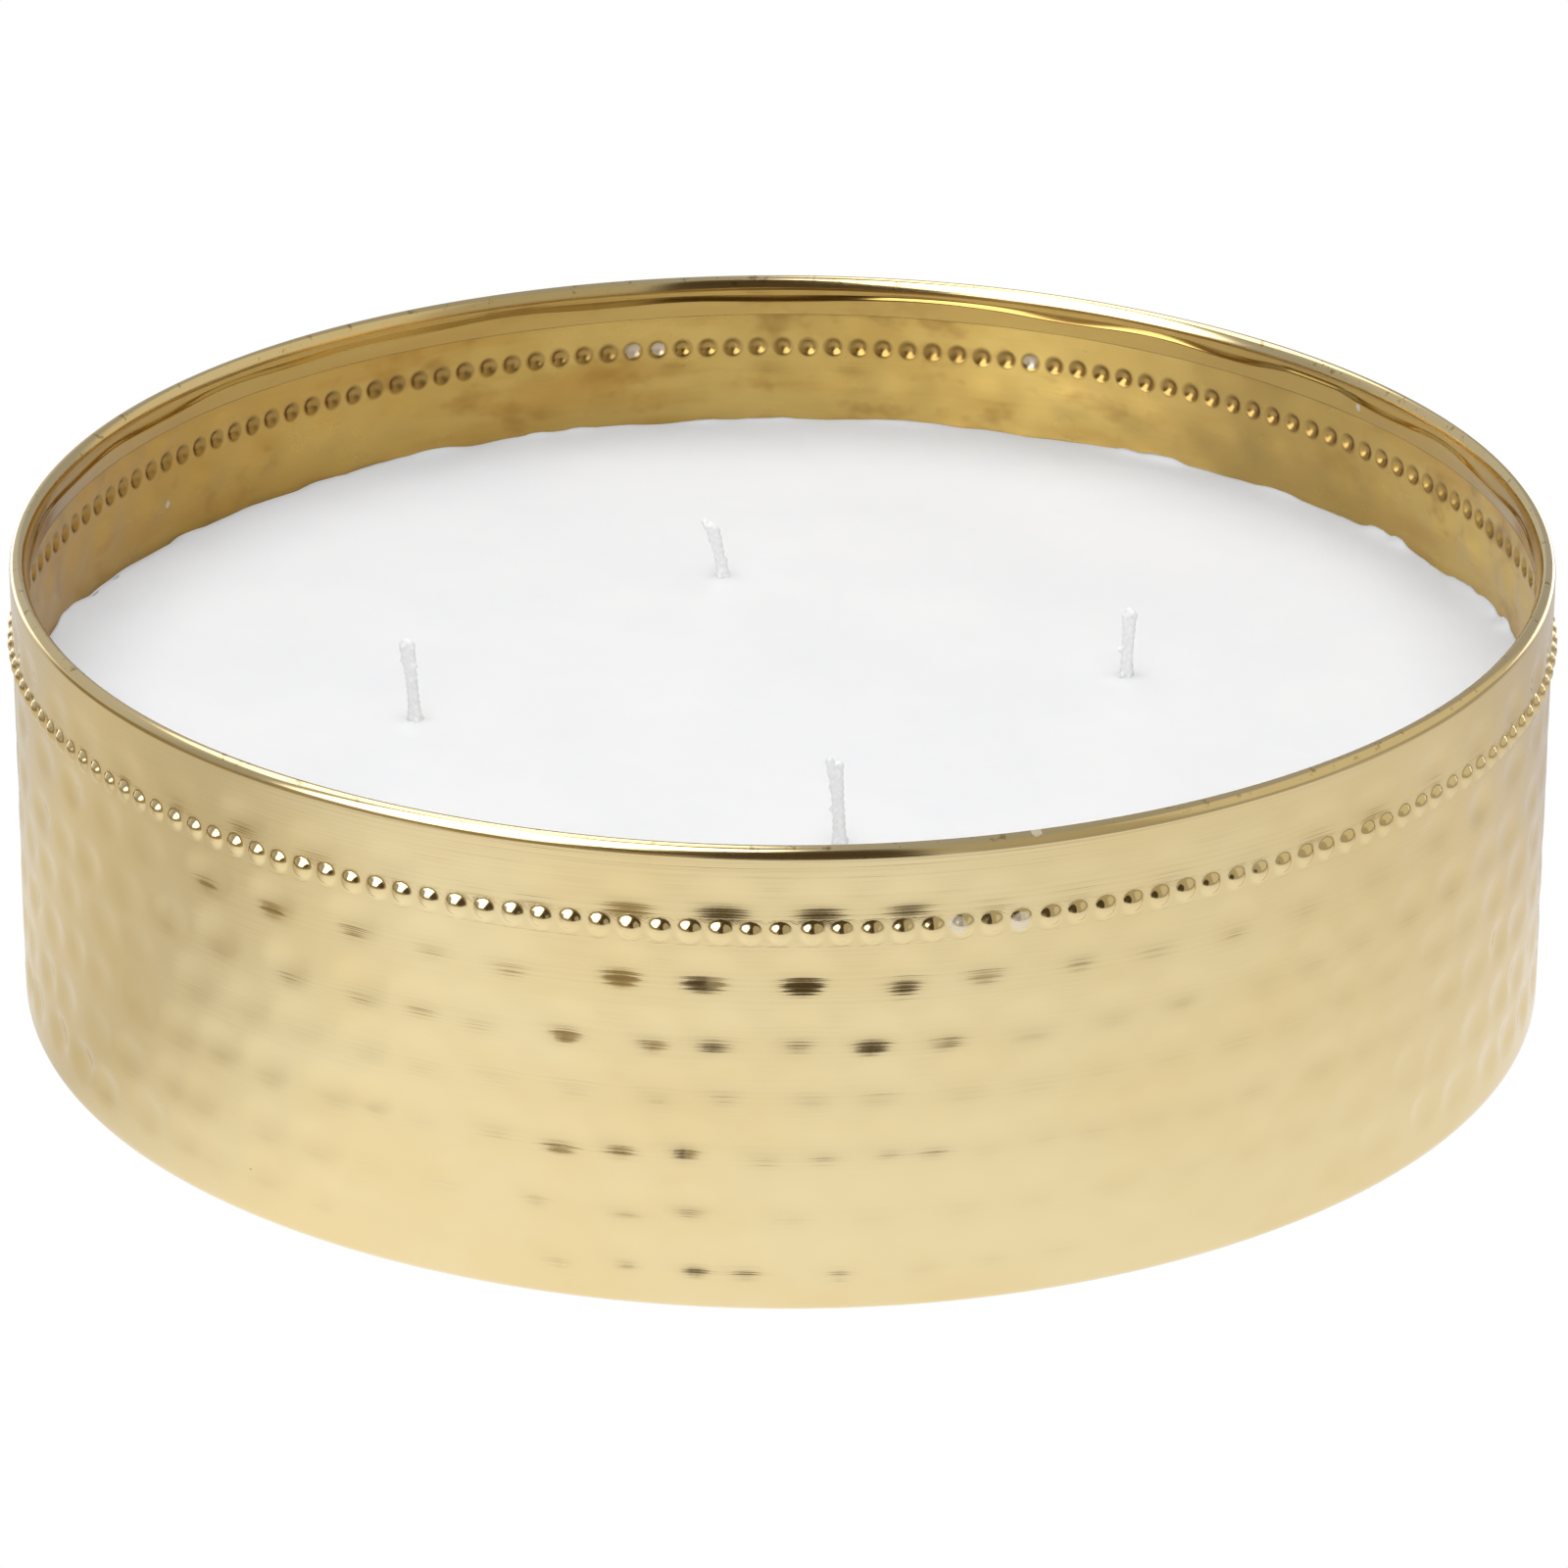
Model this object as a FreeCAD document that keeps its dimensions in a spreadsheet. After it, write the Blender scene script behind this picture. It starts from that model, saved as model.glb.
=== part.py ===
"""Candle tin: a shallow round tin of hammered sheet metal with a row of pressed beads and a folded hem, filled with
wax around four wicks. The wicks stand in crimped sustainers, which stickers hold to the floor of the tin.

Millimetres. The origin is the centre of the base, on the surface that the tin stands on, and +Z is up.
"""

import FreeCAD, Part
import math
import os

import Sketcher

doc = FreeCAD.newDocument("CandleTin")

# The driving dimensions: word, value, what it is.
DIMENSIONS = [
    ("tin_radius", 115.0, "outside radius of the wall and the rim"),
    ("tin_height", 70.65, "height of the rim over the base"),
    ("sheet", 0.6, "thickness of the sheet"),
    ("corner_radius", 2.0, "outside radius between the floor and the wall"),
    ("hem_thickness", 2.6, "both layers of the folded hem with the gap between them"),
    ("hem_depth", 6.35, "how far the fold reaches down inside the rim"),
    ("panel_radius", 104.0, "radius of the raised middle of the floor"),
    ("panel_step", 1.6, "width of the slope around the raised middle"),
    ("panel_rise", 1.0, "how far the middle of the base stands off the surface"),
    ("bead_count", 174, "pressed beads around the wall"),
    ("bead_level", 58.1, "height of the middle of the beads"),
    ("bead_width", 3.9, "diameter of a bead where it leaves the wall"),
    ("bead_proud", 0.75, "how far a bead stands out of the wall"),
    ("wax_level", 45.1, "height of the wax surface"),
    ("wick_width", 2.5, "broad side of the flat braid"),
    ("wick_thickness", 1.3, "narrow side of the flat braid"),
    ("sticker_radius", 9.0, "radius of the foam sticker"),
    ("sticker_thickness", 0.6, "thickness of the foam sticker"),
    ("sustainer_radius", 10.0, "radius of the sustainer's disc"),
    ("sustainer_sheet", 0.3, "thickness of the sustainer's disc"),
    ("neck_radius", 1.75, "outside radius of the crimped neck"),
    ("neck_height", 6.0, "height of the neck over the underside of the disc"),
    ("neck_fillet", 0.6, "radius between the disc and the neck"),
    ("label_radius", 30.0, "radius of the paper label under the base"),
    ("label_thickness", 0.12, "thickness of the paper label"),
]

# Each wick: where it stands, how high it is over the wax, how far its tip leans, and the way it leans in degrees.
WICKS = {
    "left": {"x": -54.6, "y": -12.4, "tall": 13.4, "lean": 1.2, "turn": 180.0},
    "back": {"x": -9.2, "y": 45.2, "tall": 9.2, "lean": 2.0, "turn": 172.0},
    "right": {"x": 52.1, "y": 5.5, "tall": 11.2, "lean": 0.3, "turn": 8.0},
    "front": {"x": 8.4, "y": -56.5, "tall": 13.3, "lean": 0.8, "turn": 187.0},
}

START, END, CENTRE = 1, 2, 3  # the points of a sketched line or arc
ORIGIN, X_AXIS, Y_AXIS = -1, -1, -2  # a sketch's own origin and axes
FLOOR_LEVEL = "Dimensions.panel_rise + Dimensions.sheet"
BEAD_BALL = "(Dimensions.bead_width ^ 2 / 4 + Dimensions.bead_proud ^ 2) / (2 * Dimensions.bead_proud)"
BEAD_CENTRE = "Dimensions.tin_radius + Dimensions.bead_proud - " + BEAD_BALL
FOOT_LEVEL = FLOOR_LEVEL + " + Dimensions.sticker_thickness"


def fill_sheet():
    """The spreadsheet: one row for each dimension, with its word as the alias."""
    rows = list(DIMENSIONS)
    for place, wick in WICKS.items():
        rows += [(f"{place}_wick_{key}", value, f"{place} wick: {key}") for key, value in wick.items()]
    sheet = doc.addObject("Spreadsheet::Sheet", "Dimensions")
    for row, (word, value, note) in enumerate(rows, 1):
        sheet.set(f"A{row}", word)
        sheet.set(f"B{row}", str(value))
        sheet.set(f"C{row}", note)
        sheet.setAlias(f"B{row}", word)
    doc.recompute()
    return sheet


def new_body(label):
    """An empty body with the node's name as its label."""
    body = doc.addObject("PartDesign::Body", label + "_body")
    body.Label = label
    return body


def new_sketch(body, name, role):
    """A sketch on one of the body's own origin planes."""
    sketch = body.newObject("Sketcher::SketchObject", name)
    plane = next(f for f in body.Origin.OriginFeatures if f.Role == role)
    sketch.AttachmentSupport = [(plane, "")]
    sketch.MapMode = "FlatFace"
    return sketch


def point(x, y):
    """A point in a sketch."""
    return FreeCAD.Vector(x, y, 0)


def add_line(sketch, start, end):
    """A sketched line between two points; returns its number."""
    return sketch.addGeometry(Part.LineSegment(point(*start), point(*end)))


def add_arc(sketch, centre, radius, first, last):
    """A sketched arc, anticlockwise from one angle to the other in degrees; returns its number."""
    circle = Part.Circle(point(*centre), FreeCAD.Vector(0, 0, 1), radius)
    return sketch.addGeometry(Part.ArcOfCircle(circle, math.radians(first), math.radians(last)))


def constrain(sketch, kind, *rest):
    """A constraint without a size."""
    sketch.addConstraint(Sketcher.Constraint(kind, *rest))


def drive(sketch, name, expression, kind, *rest):
    """A named size in the sketch, bound to the spreadsheet. It starts at the size that the sketch has."""
    number = sketch.addConstraint(Sketcher.Constraint(kind, *rest))
    sketch.renameConstraint(number, name)
    sketch.setExpression("Constraints." + name, expression)


def revolve(body, sketch, name, axis=None):
    """The sketch turned a full circle, about its own vertical axis unless another is given."""
    feature = body.newObject("PartDesign::Revolution", name)
    feature.Profile = sketch
    feature.ReferenceAxis = axis or (sketch, ["V_Axis"])
    feature.Angle = 360
    return feature


def sheet_sizes(sheet):
    """The numbers that place the first, unsolved outline of a sketch."""
    return {word: float(sheet.get(word)) for word, _, _ in DIMENSIONS}


def spin_sheet(body, size):
    """The sheet as it is spun: floor with a raised middle, wall, and hem folded inwards."""
    outline = new_sketch(body, "sheet_outline", "YZ_Plane")
    rim, high, thick = size["tin_radius"], size["tin_height"], size["sheet"]
    corner, fold = size["corner_radius"], size["hem_thickness"] / 2
    foot, slope_end = size["panel_radius"], size["panel_radius"] + size["panel_step"]
    rise, hem_end, fold_level = size["panel_rise"], high - size["hem_depth"], high - fold
    hem_face = rim - 2 * fold

    under_panel = add_line(outline, (0, rise), (foot, rise))
    under_slope = add_line(outline, (foot, rise), (slope_end, 0))
    under_ring = add_line(outline, (slope_end, 0), (rim - corner, 0))
    outer_corner = add_arc(outline, (rim - corner, corner), corner, -90, 0)
    outer_wall = add_line(outline, (rim, corner), (rim, fold_level))
    outer_fold = add_arc(outline, (rim - fold, fold_level), fold, 0, 180)
    hem_front = add_line(outline, (hem_face, fold_level), (hem_face, hem_end))
    hem_edge = add_line(outline, (hem_face, hem_end), (hem_face + thick, hem_end))
    hem_back = add_line(outline, (hem_face + thick, hem_end), (hem_face + thick, fold_level))
    inner_fold = add_arc(outline, (rim - fold, fold_level), fold - thick, 0, 180)
    inner_wall = add_line(outline, (rim - thick, fold_level), (rim - thick, corner))
    inner_corner = add_arc(outline, (rim - corner, corner), corner - thick, -90, 0)
    over_ring = add_line(outline, (rim - corner, thick), (slope_end, thick))
    over_slope = add_line(outline, (slope_end, thick), (foot, rise + thick))
    over_panel = add_line(outline, (foot, rise + thick), (0, rise + thick))
    middle = add_line(outline, (0, rise + thick), (0, rise))

    for first, second in (
        (under_panel, under_slope),
        (under_slope, under_ring),
        (hem_front, hem_edge),
        (hem_edge, hem_back),
        (over_ring, over_slope),
        (over_slope, over_panel),
        (over_panel, middle),
        (middle, under_panel),
    ):
        constrain(outline, "Coincident", first, END, second, START)
    for line, line_end, arc, arc_end in (
        (under_ring, END, outer_corner, START),
        (outer_wall, START, outer_corner, END),
        (outer_wall, END, outer_fold, START),
        (hem_front, START, outer_fold, END),
        (hem_back, END, inner_fold, END),
        (inner_wall, START, inner_fold, START),
        (inner_wall, END, inner_corner, END),
        (over_ring, START, inner_corner, START),
    ):
        constrain(outline, "Tangent", line, line_end, arc, arc_end)
    for level in (under_panel, under_ring, hem_edge, over_ring, over_panel):
        constrain(outline, "Horizontal", level)
    for upright in (outer_wall, hem_front, hem_back, inner_wall):
        constrain(outline, "Vertical", upright)
    constrain(outline, "PointOnObject", under_ring, START, X_AXIS)
    constrain(outline, "PointOnObject", middle, START, Y_AXIS)
    constrain(outline, "PointOnObject", middle, END, Y_AXIS)
    constrain(outline, "Coincident", inner_corner, CENTRE, outer_corner, CENTRE)
    constrain(outline, "Coincident", inner_fold, CENTRE, outer_fold, CENTRE)
    constrain(outline, "Vertical", under_panel, END, over_panel, START)
    constrain(outline, "Vertical", under_slope, END, over_slope, START)

    across = ("DistanceX", ORIGIN, 1)
    up = ("DistanceY", ORIGIN, 1)
    drive(outline, "rim", "Dimensions.tin_radius", *across, outer_wall, START, rim)
    drive(outline, "corner", "Dimensions.corner_radius", "Radius", outer_corner, corner)
    drive(outline, "fold", "Dimensions.hem_thickness / 2", "Radius", outer_fold, fold)
    fold_height = "Dimensions.tin_height - Dimensions.hem_thickness / 2"
    drive(outline, "fold_level", fold_height, *up, outer_fold, CENTRE, fold_level)
    hem_height = "Dimensions.tin_height - Dimensions.hem_depth"
    drive(outline, "hem_end", hem_height, *up, hem_front, END, hem_end)
    drive(outline, "hem_sheet", "Dimensions.sheet", "DistanceX", hem_edge, START, hem_edge, END, thick)
    drive(outline, "panel", "Dimensions.panel_radius", *across, under_panel, END, foot)
    slope = ("DistanceX", under_slope, START, under_slope, END)
    drive(outline, "slope", "Dimensions.panel_step", *slope, slope_end - foot)
    drive(outline, "rise", "Dimensions.panel_rise", *up, under_panel, START, rise)
    drive(outline, "floor_sheet", "Dimensions.sheet", "DistanceY", middle, END, middle, START, thick)
    revolve(body, outline, "spun_sheet")
    doc.recompute()


def draw_bead_cap(body, size):
    """Half the outline of a bead: a cap of a ball that starts inside the sheet. Returns its sketch and its axis."""
    rim, level = size["tin_radius"], size["bead_level"]
    ball, centre = bead_ball(size)
    back = rim - size["sheet"] / 6
    edge = math.sqrt(ball**2 - (back - centre) ** 2)

    cap = new_sketch(body, "bead_outline", "XZ_Plane")
    axis = add_line(cap, (back, level), (centre + ball, level))
    base = add_line(cap, (back, level + edge), (back, level))
    face = add_arc(cap, (centre, level), ball, 0, math.degrees(math.atan2(edge, back - centre)))
    constrain(cap, "Coincident", base, END, axis, START)
    constrain(cap, "Coincident", axis, END, face, START)
    constrain(cap, "Coincident", face, END, base, START)
    constrain(cap, "PointOnObject", face, CENTRE, axis)
    constrain(cap, "Horizontal", axis)
    constrain(cap, "Vertical", base)
    back_place = "Dimensions.tin_radius - Dimensions.sheet / 6"
    drive(cap, "ball", BEAD_BALL, "Radius", face, ball)
    drive(cap, "centre", BEAD_CENTRE, "DistanceX", ORIGIN, 1, face, CENTRE, centre)
    drive(cap, "level", "Dimensions.bead_level", "DistanceY", ORIGIN, 1, face, CENTRE, level)
    drive(cap, "back", back_place, "DistanceX", ORIGIN, 1, axis, START, back)
    return cap, (cap, [f"Edge{axis + 1}"])


def draw_dimple(body, size):
    """Half the outline of the hollow behind a bead: a quarter of a disc one sheet smaller than the bead's ball."""
    level = size["bead_level"]
    ball, centre = bead_ball(size)
    dent = ball - size["sheet"]

    hollow = new_sketch(body, "dimple_outline", "XZ_Plane")
    axis = add_line(hollow, (centre, level), (centre + dent, level))
    base = add_line(hollow, (centre, level + dent), (centre, level))
    face = add_arc(hollow, (centre, level), dent, 0, 90)
    constrain(hollow, "Coincident", base, END, axis, START)
    constrain(hollow, "Coincident", axis, END, face, START)
    constrain(hollow, "Coincident", face, END, base, START)
    constrain(hollow, "Coincident", face, CENTRE, axis, START)
    constrain(hollow, "Horizontal", axis)
    constrain(hollow, "Vertical", base)
    drive(hollow, "dent", BEAD_BALL + " - Dimensions.sheet", "Radius", face, dent)
    drive(hollow, "centre", BEAD_CENTRE, "DistanceX", ORIGIN, 1, axis, START, centre)
    drive(hollow, "level", "Dimensions.bead_level", "DistanceY", ORIGIN, 1, axis, START, level)
    return hollow, (hollow, [f"Edge{axis + 1}"])


def bead_ball(size):
    """The radius of the ball that a bead is a cap of, and how far its centre is from the tin's axis."""
    ball = (size["bead_width"] ** 2 / 4 + size["bead_proud"] ** 2) / (2 * size["bead_proud"])
    return ball, size["tin_radius"] + size["bead_proud"] - ball


def press_beads(body, size):
    """The ring of beads pressed out of the wall, hollow on the inside. Returns the pattern."""
    cap, cap_axis = draw_bead_cap(body, size)
    bead = revolve(body, cap, "bead", cap_axis)
    doc.recompute()
    hollow, hollow_axis = draw_dimple(body, size)
    dimple = body.newObject("PartDesign::Groove", "dimple")
    dimple.Profile = hollow
    dimple.ReferenceAxis = hollow_axis
    dimple.Angle = 360
    doc.recompute()
    ring = body.newObject("PartDesign::PolarPattern", "bead_ring")
    ring.Originals = [bead, dimple]
    ring.Axis = (next(f for f in body.Origin.OriginFeatures if f.Role == "Z_Axis"), [""])
    ring.Angle = 360
    ring.setExpression("Occurrences", "Dimensions.bead_count")
    return ring


def make_tin(size):
    """The tin, which is one sheet."""
    body = new_body("tin_body")
    spin_sheet(body, size)
    body.Tip = press_beads(body, size)
    return body


def make_wax_block(size):
    """The wax as it fills the tin, before the wicks and what holds them are cut out of it."""
    body = doc.addObject("PartDesign::Body", "wax_block")
    outline = new_sketch(body, "wax_outline", "YZ_Plane")
    wall, corner, thick = size["tin_radius"] - size["sheet"], size["corner_radius"], size["sheet"]
    foot, slope_end = size["panel_radius"], size["panel_radius"] + size["panel_step"]
    floor, level = size["panel_rise"] + thick, size["wax_level"]
    corner_start = size["tin_radius"] - corner

    panel = add_line(outline, (0, floor), (foot, floor))
    slope = add_line(outline, (foot, floor), (slope_end, thick))
    ring = add_line(outline, (slope_end, thick), (corner_start, thick))
    bend = add_arc(outline, (corner_start, corner), corner - thick, -90, 0)
    side = add_line(outline, (wall, corner), (wall, level))
    top = add_line(outline, (wall, level), (0, level))
    middle = add_line(outline, (0, level), (0, floor))
    for first, second in ((panel, slope), (slope, ring), (side, top), (top, middle), (middle, panel)):
        constrain(outline, "Coincident", first, END, second, START)
    constrain(outline, "Tangent", ring, END, bend, START)
    constrain(outline, "Tangent", side, START, bend, END)
    for flat in (panel, ring, top):
        constrain(outline, "Horizontal", flat)
    constrain(outline, "Vertical", side)
    constrain(outline, "PointOnObject", middle, START, Y_AXIS)
    constrain(outline, "PointOnObject", middle, END, Y_AXIS)
    across = ("DistanceX", ORIGIN, 1)
    up = ("DistanceY", ORIGIN, 1)
    drive(outline, "wall", "Dimensions.tin_radius - Dimensions.sheet", *across, side, START, wall)
    drive(outline, "bend", "Dimensions.corner_radius - Dimensions.sheet", "Radius", bend, corner - thick)
    drive(outline, "panel", "Dimensions.panel_radius", *across, panel, END, foot)
    slope_place = "Dimensions.panel_radius + Dimensions.panel_step"
    drive(outline, "slope", slope_place, *across, slope, END, slope_end)
    drive(outline, "floor", FLOOR_LEVEL, *up, panel, START, floor)
    drive(outline, "ring", "Dimensions.sheet", *up, ring, START, thick)
    drive(outline, "level", "Dimensions.wax_level", *up, top, END, level)
    revolve(body, outline, "wax_pour")
    return body


def stand(body, place, level):
    """The body's place on the floor of the tin: at its wick, at a level, turned the way the wick leans."""
    body.setExpression("Placement.Base.x", f"Dimensions.{place}_wick_x")
    body.setExpression("Placement.Base.y", f"Dimensions.{place}_wick_y")
    body.setExpression("Placement.Base.z", level)
    body.setExpression("Placement.Rotation.Angle", f"Dimensions.{place}_wick_turn")


def add_braid_section(body, name, size):
    """The flat braid's section on the body's base plane: two straight sides with round ends."""
    section = new_sketch(body, name, "XY_Plane")
    radius = size["wick_thickness"] / 2
    half = size["wick_width"] / 2 - radius
    near = add_line(section, (-half, -radius), (half, -radius))
    right = add_arc(section, (half, 0), radius, -90, 90)
    far = add_line(section, (half, radius), (-half, radius))
    left = add_arc(section, (-half, 0), radius, 90, 270)
    for line, line_end, arc, arc_end in (
        (near, END, right, START),
        (far, START, right, END),
        (far, END, left, START),
        (near, START, left, END),
    ):
        constrain(section, "Tangent", line, line_end, arc, arc_end)
    constrain(section, "Horizontal", near)
    constrain(section, "PointOnObject", right, CENTRE, X_AXIS)
    constrain(section, "Symmetric", left, CENTRE, right, CENTRE, ORIGIN, 1)
    drive(section, "end_radius", "Dimensions.wick_thickness / 2", "Radius", right, radius)
    spread = "Dimensions.wick_width - Dimensions.wick_thickness"
    drive(section, "spread", spread, "DistanceX", left, CENTRE, right, CENTRE, 2 * half)
    return section


def make_wick(place, size):
    """A wick: straight up through the wax from the underside of its sustainer, then leaning as it leaves the wax."""
    body = new_body("wick_" + place)
    section = add_braid_section(body, f"braid_section_{place}", size)
    wick = WICKS[place]
    buried = size["wax_level"] - size["panel_rise"] - size["sheet"] - size["sticker_thickness"]
    bend = (wick["tall"] ** 2 + wick["lean"] ** 2) / (2 * wick["lean"])
    turn = math.degrees(math.asin(wick["tall"] / bend))

    path = new_sketch(body, f"wick_path_{place}", "XZ_Plane")
    straight = add_line(path, (0, 0), (0, buried))
    leaning = add_arc(path, (bend, buried), bend, 180 - turn, 180)
    constrain(path, "Coincident", straight, START, ORIGIN, 1)
    constrain(path, "Vertical", straight)
    constrain(path, "Tangent", straight, END, leaning, END)
    depth = f"Dimensions.wax_level - ({FOOT_LEVEL})"
    drive(path, "buried", depth, "DistanceY", straight, START, straight, END, buried)
    tall, lean = f"Dimensions.{place}_wick_tall", f"Dimensions.{place}_wick_lean"
    drive(path, "tall", tall, "DistanceY", straight, END, leaning, START, wick["tall"])
    drive(path, "lean", lean, "DistanceX", straight, END, leaning, START, wick["lean"])
    doc.recompute()

    braid = body.newObject("PartDesign::AdditivePipe", f"braid_{place}")
    braid.Profile = section
    braid.Spine = path
    stand(body, place, FOOT_LEVEL)
    return body


def make_sustainer(place, size):
    """A sustainer: a thin disc with a neck drawn up from it, crimped round the wick."""
    body = new_body("wick_sustainer_" + place)
    outline = new_sketch(body, f"sustainer_outline_{place}", "XZ_Plane")
    disc, thick = size["sustainer_radius"], size["sustainer_sheet"]
    neck, high, bend = size["neck_radius"], size["neck_height"], size["neck_fillet"]
    under = add_line(outline, (0, 0), (disc, 0))
    rim = add_line(outline, (disc, 0), (disc, thick))
    over = add_line(outline, (disc, thick), (neck + bend, thick))
    root = add_arc(outline, (neck + bend, thick + bend), bend, 180, 270)
    side = add_line(outline, (neck, thick + bend), (neck, high))
    top = add_line(outline, (neck, high), (0, high))
    middle = add_line(outline, (0, high), (0, 0))
    for first, second in ((under, rim), (rim, over), (side, top), (top, middle), (middle, under)):
        constrain(outline, "Coincident", first, END, second, START)
    constrain(outline, "Tangent", over, END, root, END)
    constrain(outline, "Tangent", side, START, root, START)
    constrain(outline, "Coincident", under, START, ORIGIN, 1)
    for flat in (under, over, top):
        constrain(outline, "Horizontal", flat)
    for upright in (rim, side, middle):
        constrain(outline, "Vertical", upright)
    drive(outline, "disc", "Dimensions.sustainer_radius", "DistanceX", under, START, under, END, disc)
    drive(outline, "disc_sheet", "Dimensions.sustainer_sheet", "DistanceY", rim, START, rim, END, thick)
    drive(outline, "neck", "Dimensions.neck_radius", "DistanceX", top, END, top, START, neck)
    drive(outline, "neck_top", "Dimensions.neck_height", "DistanceY", middle, END, middle, START, high)
    drive(outline, "root", "Dimensions.neck_fillet", "Radius", root, bend)
    revolve(body, outline, f"sustainer_{place}")
    doc.recompute()

    hole = add_braid_section(body, f"crimp_section_{place}", size)
    crimp = body.newObject("PartDesign::Pocket", f"crimp_{place}")
    crimp.Profile = hole
    crimp.Type = "ThroughAll"
    crimp.Midplane = True
    stand(body, place, FOOT_LEVEL)
    return body


def make_disc(label, radius, thickness, level):
    """A flat disc on the axis at a level, with its sizes bound to the spreadsheet."""
    disc = doc.addObject("Part::Cylinder", label + "_disc")
    disc.Label = label
    disc.setExpression("Radius", radius)
    disc.setExpression("Height", thickness)
    disc.setExpression("Placement.Base.z", level)
    return disc


def make_sticker(place):
    """The foam sticker between the floor of the tin and a sustainer."""
    sticker = make_disc(
        "wick_sticker_" + place,
        "Dimensions.sticker_radius",
        "Dimensions.sticker_thickness",
        FLOOR_LEVEL,
    )
    stand(sticker, place, FLOOR_LEVEL)
    return sticker


def make_base_label():
    """The blank paper label on the underside of the raised middle."""
    return make_disc(
        "base_label",
        "Dimensions.label_radius",
        "Dimensions.label_thickness",
        "Dimensions.panel_rise - Dimensions.label_thickness",
    )


def make_wax(block, buried):
    """The wax, with the space that the wicks and what holds them take up."""
    held = doc.addObject("Part::Compound", "held_in_wax")
    held.Links = buried
    wax = doc.addObject("Part::Cut", "wax_fill_cut")
    wax.Label = "wax_fill"
    wax.Base = block
    wax.Tool = held
    return wax


def check_document():
    """Stops if any object failed to compute."""
    for item in doc.Objects:
        if "Invalid" in item.State or "Error" in item.State:
            raise RuntimeError(f"{item.Label} failed: {item.State}")


def export(nodes):
    """Writes each sub-part, once all of them are known to be sound."""
    for node in nodes:
        if node.Shape.isNull() or not node.Shape.isValid() or not node.Shape.Solids:
            raise RuntimeError(f"{node.Label} has no sound shape")
    os.makedirs("parts", exist_ok=True)
    for node in nodes:
        node.Shape.exportStep(f"parts/{node.Label}.step")
        print(f"{node.Label}: {len(node.Shape.Solids)} solid, {node.Shape.Volume / 1000:.3f} cm3")


dimension_sheet = fill_sheet()
sizes = sheet_sizes(dimension_sheet)
tin = make_tin(sizes)
wax_block = make_wax_block(sizes)
holders = []
for wick_place in WICKS:
    holders += [make_wick(wick_place, sizes), make_sustainer(wick_place, sizes), make_sticker(wick_place)]
wax_fill = make_wax(wax_block, holders)
paper = make_base_label()
doc.recompute()
check_document()
export([tin, wax_fill, paper, *holders])
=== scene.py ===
"""Candle tin: the looks of a shallow round tin of hammered sheet brass, filled with white wax and four wicks.

The sizes of the tin, the wax and the wicks are in millimetres, and MM turns them into metres. The studio and
the camera are in metres. The tin stands on z = 0 with its axis on z, and its front faces -y.
"""
import math
import random

import bpy
import numpy as np
from mathutils import Matrix, Vector


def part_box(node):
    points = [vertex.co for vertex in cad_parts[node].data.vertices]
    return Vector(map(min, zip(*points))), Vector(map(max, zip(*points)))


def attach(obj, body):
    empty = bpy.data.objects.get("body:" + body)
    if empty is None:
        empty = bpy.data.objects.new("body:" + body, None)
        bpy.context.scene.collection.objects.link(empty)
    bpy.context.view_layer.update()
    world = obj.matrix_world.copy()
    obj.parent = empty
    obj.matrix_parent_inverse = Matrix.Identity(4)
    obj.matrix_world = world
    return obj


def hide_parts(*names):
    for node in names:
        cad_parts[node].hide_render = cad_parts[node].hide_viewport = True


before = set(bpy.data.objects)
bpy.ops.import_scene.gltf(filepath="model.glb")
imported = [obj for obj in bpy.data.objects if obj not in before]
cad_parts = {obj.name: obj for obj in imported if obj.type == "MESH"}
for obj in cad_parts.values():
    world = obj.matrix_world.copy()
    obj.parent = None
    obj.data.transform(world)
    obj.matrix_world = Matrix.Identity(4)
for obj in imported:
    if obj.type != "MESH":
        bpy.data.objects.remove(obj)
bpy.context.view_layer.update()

MM = 0.001

# The tin's sheet, with the sizes of the CAD model.
TIN_RADIUS = 115.0
SHEET = 0.6
FOLD_THICKNESS = 2.6
HEM_DEPTH = 6.35
PANEL_RADIUS = 104.0
PANEL_STEP = 1.6
PANEL_RISE = 1.0
CORNER_RADIUS = 2.0
WAX_LEVEL = 45.1
TIN_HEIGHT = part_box("tin_body")[1].z / MM

# The rim's roll is an ellipse: its half height outside and inside, and how deep the crease in the hem is.
ROLL_RISE = 1.7
ROLL_FALL = 2.7
CREASE_DEPTH = 3.7

# The ring of beads: their size, how steep their sides get, and the radii of the ball and of the flared foot
# in shares of the bead's own.
BEADS = 174
BEAD_LEVEL = 58.1
BEAD_RADIUS = 1.92
BEAD_PROUD = 0.74
BEAD_LEAN = math.radians(44)
BALL_SHARE = 1.04
FLARE_SHARE = 0.40
COLUMNS_PER_BEAD = 4
COLUMNS = BEADS * COLUMNS_PER_BEAD
PITCH = 2 * math.pi * TIN_RADIUS / BEADS
BAND_HALF = PITCH / 2

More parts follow.
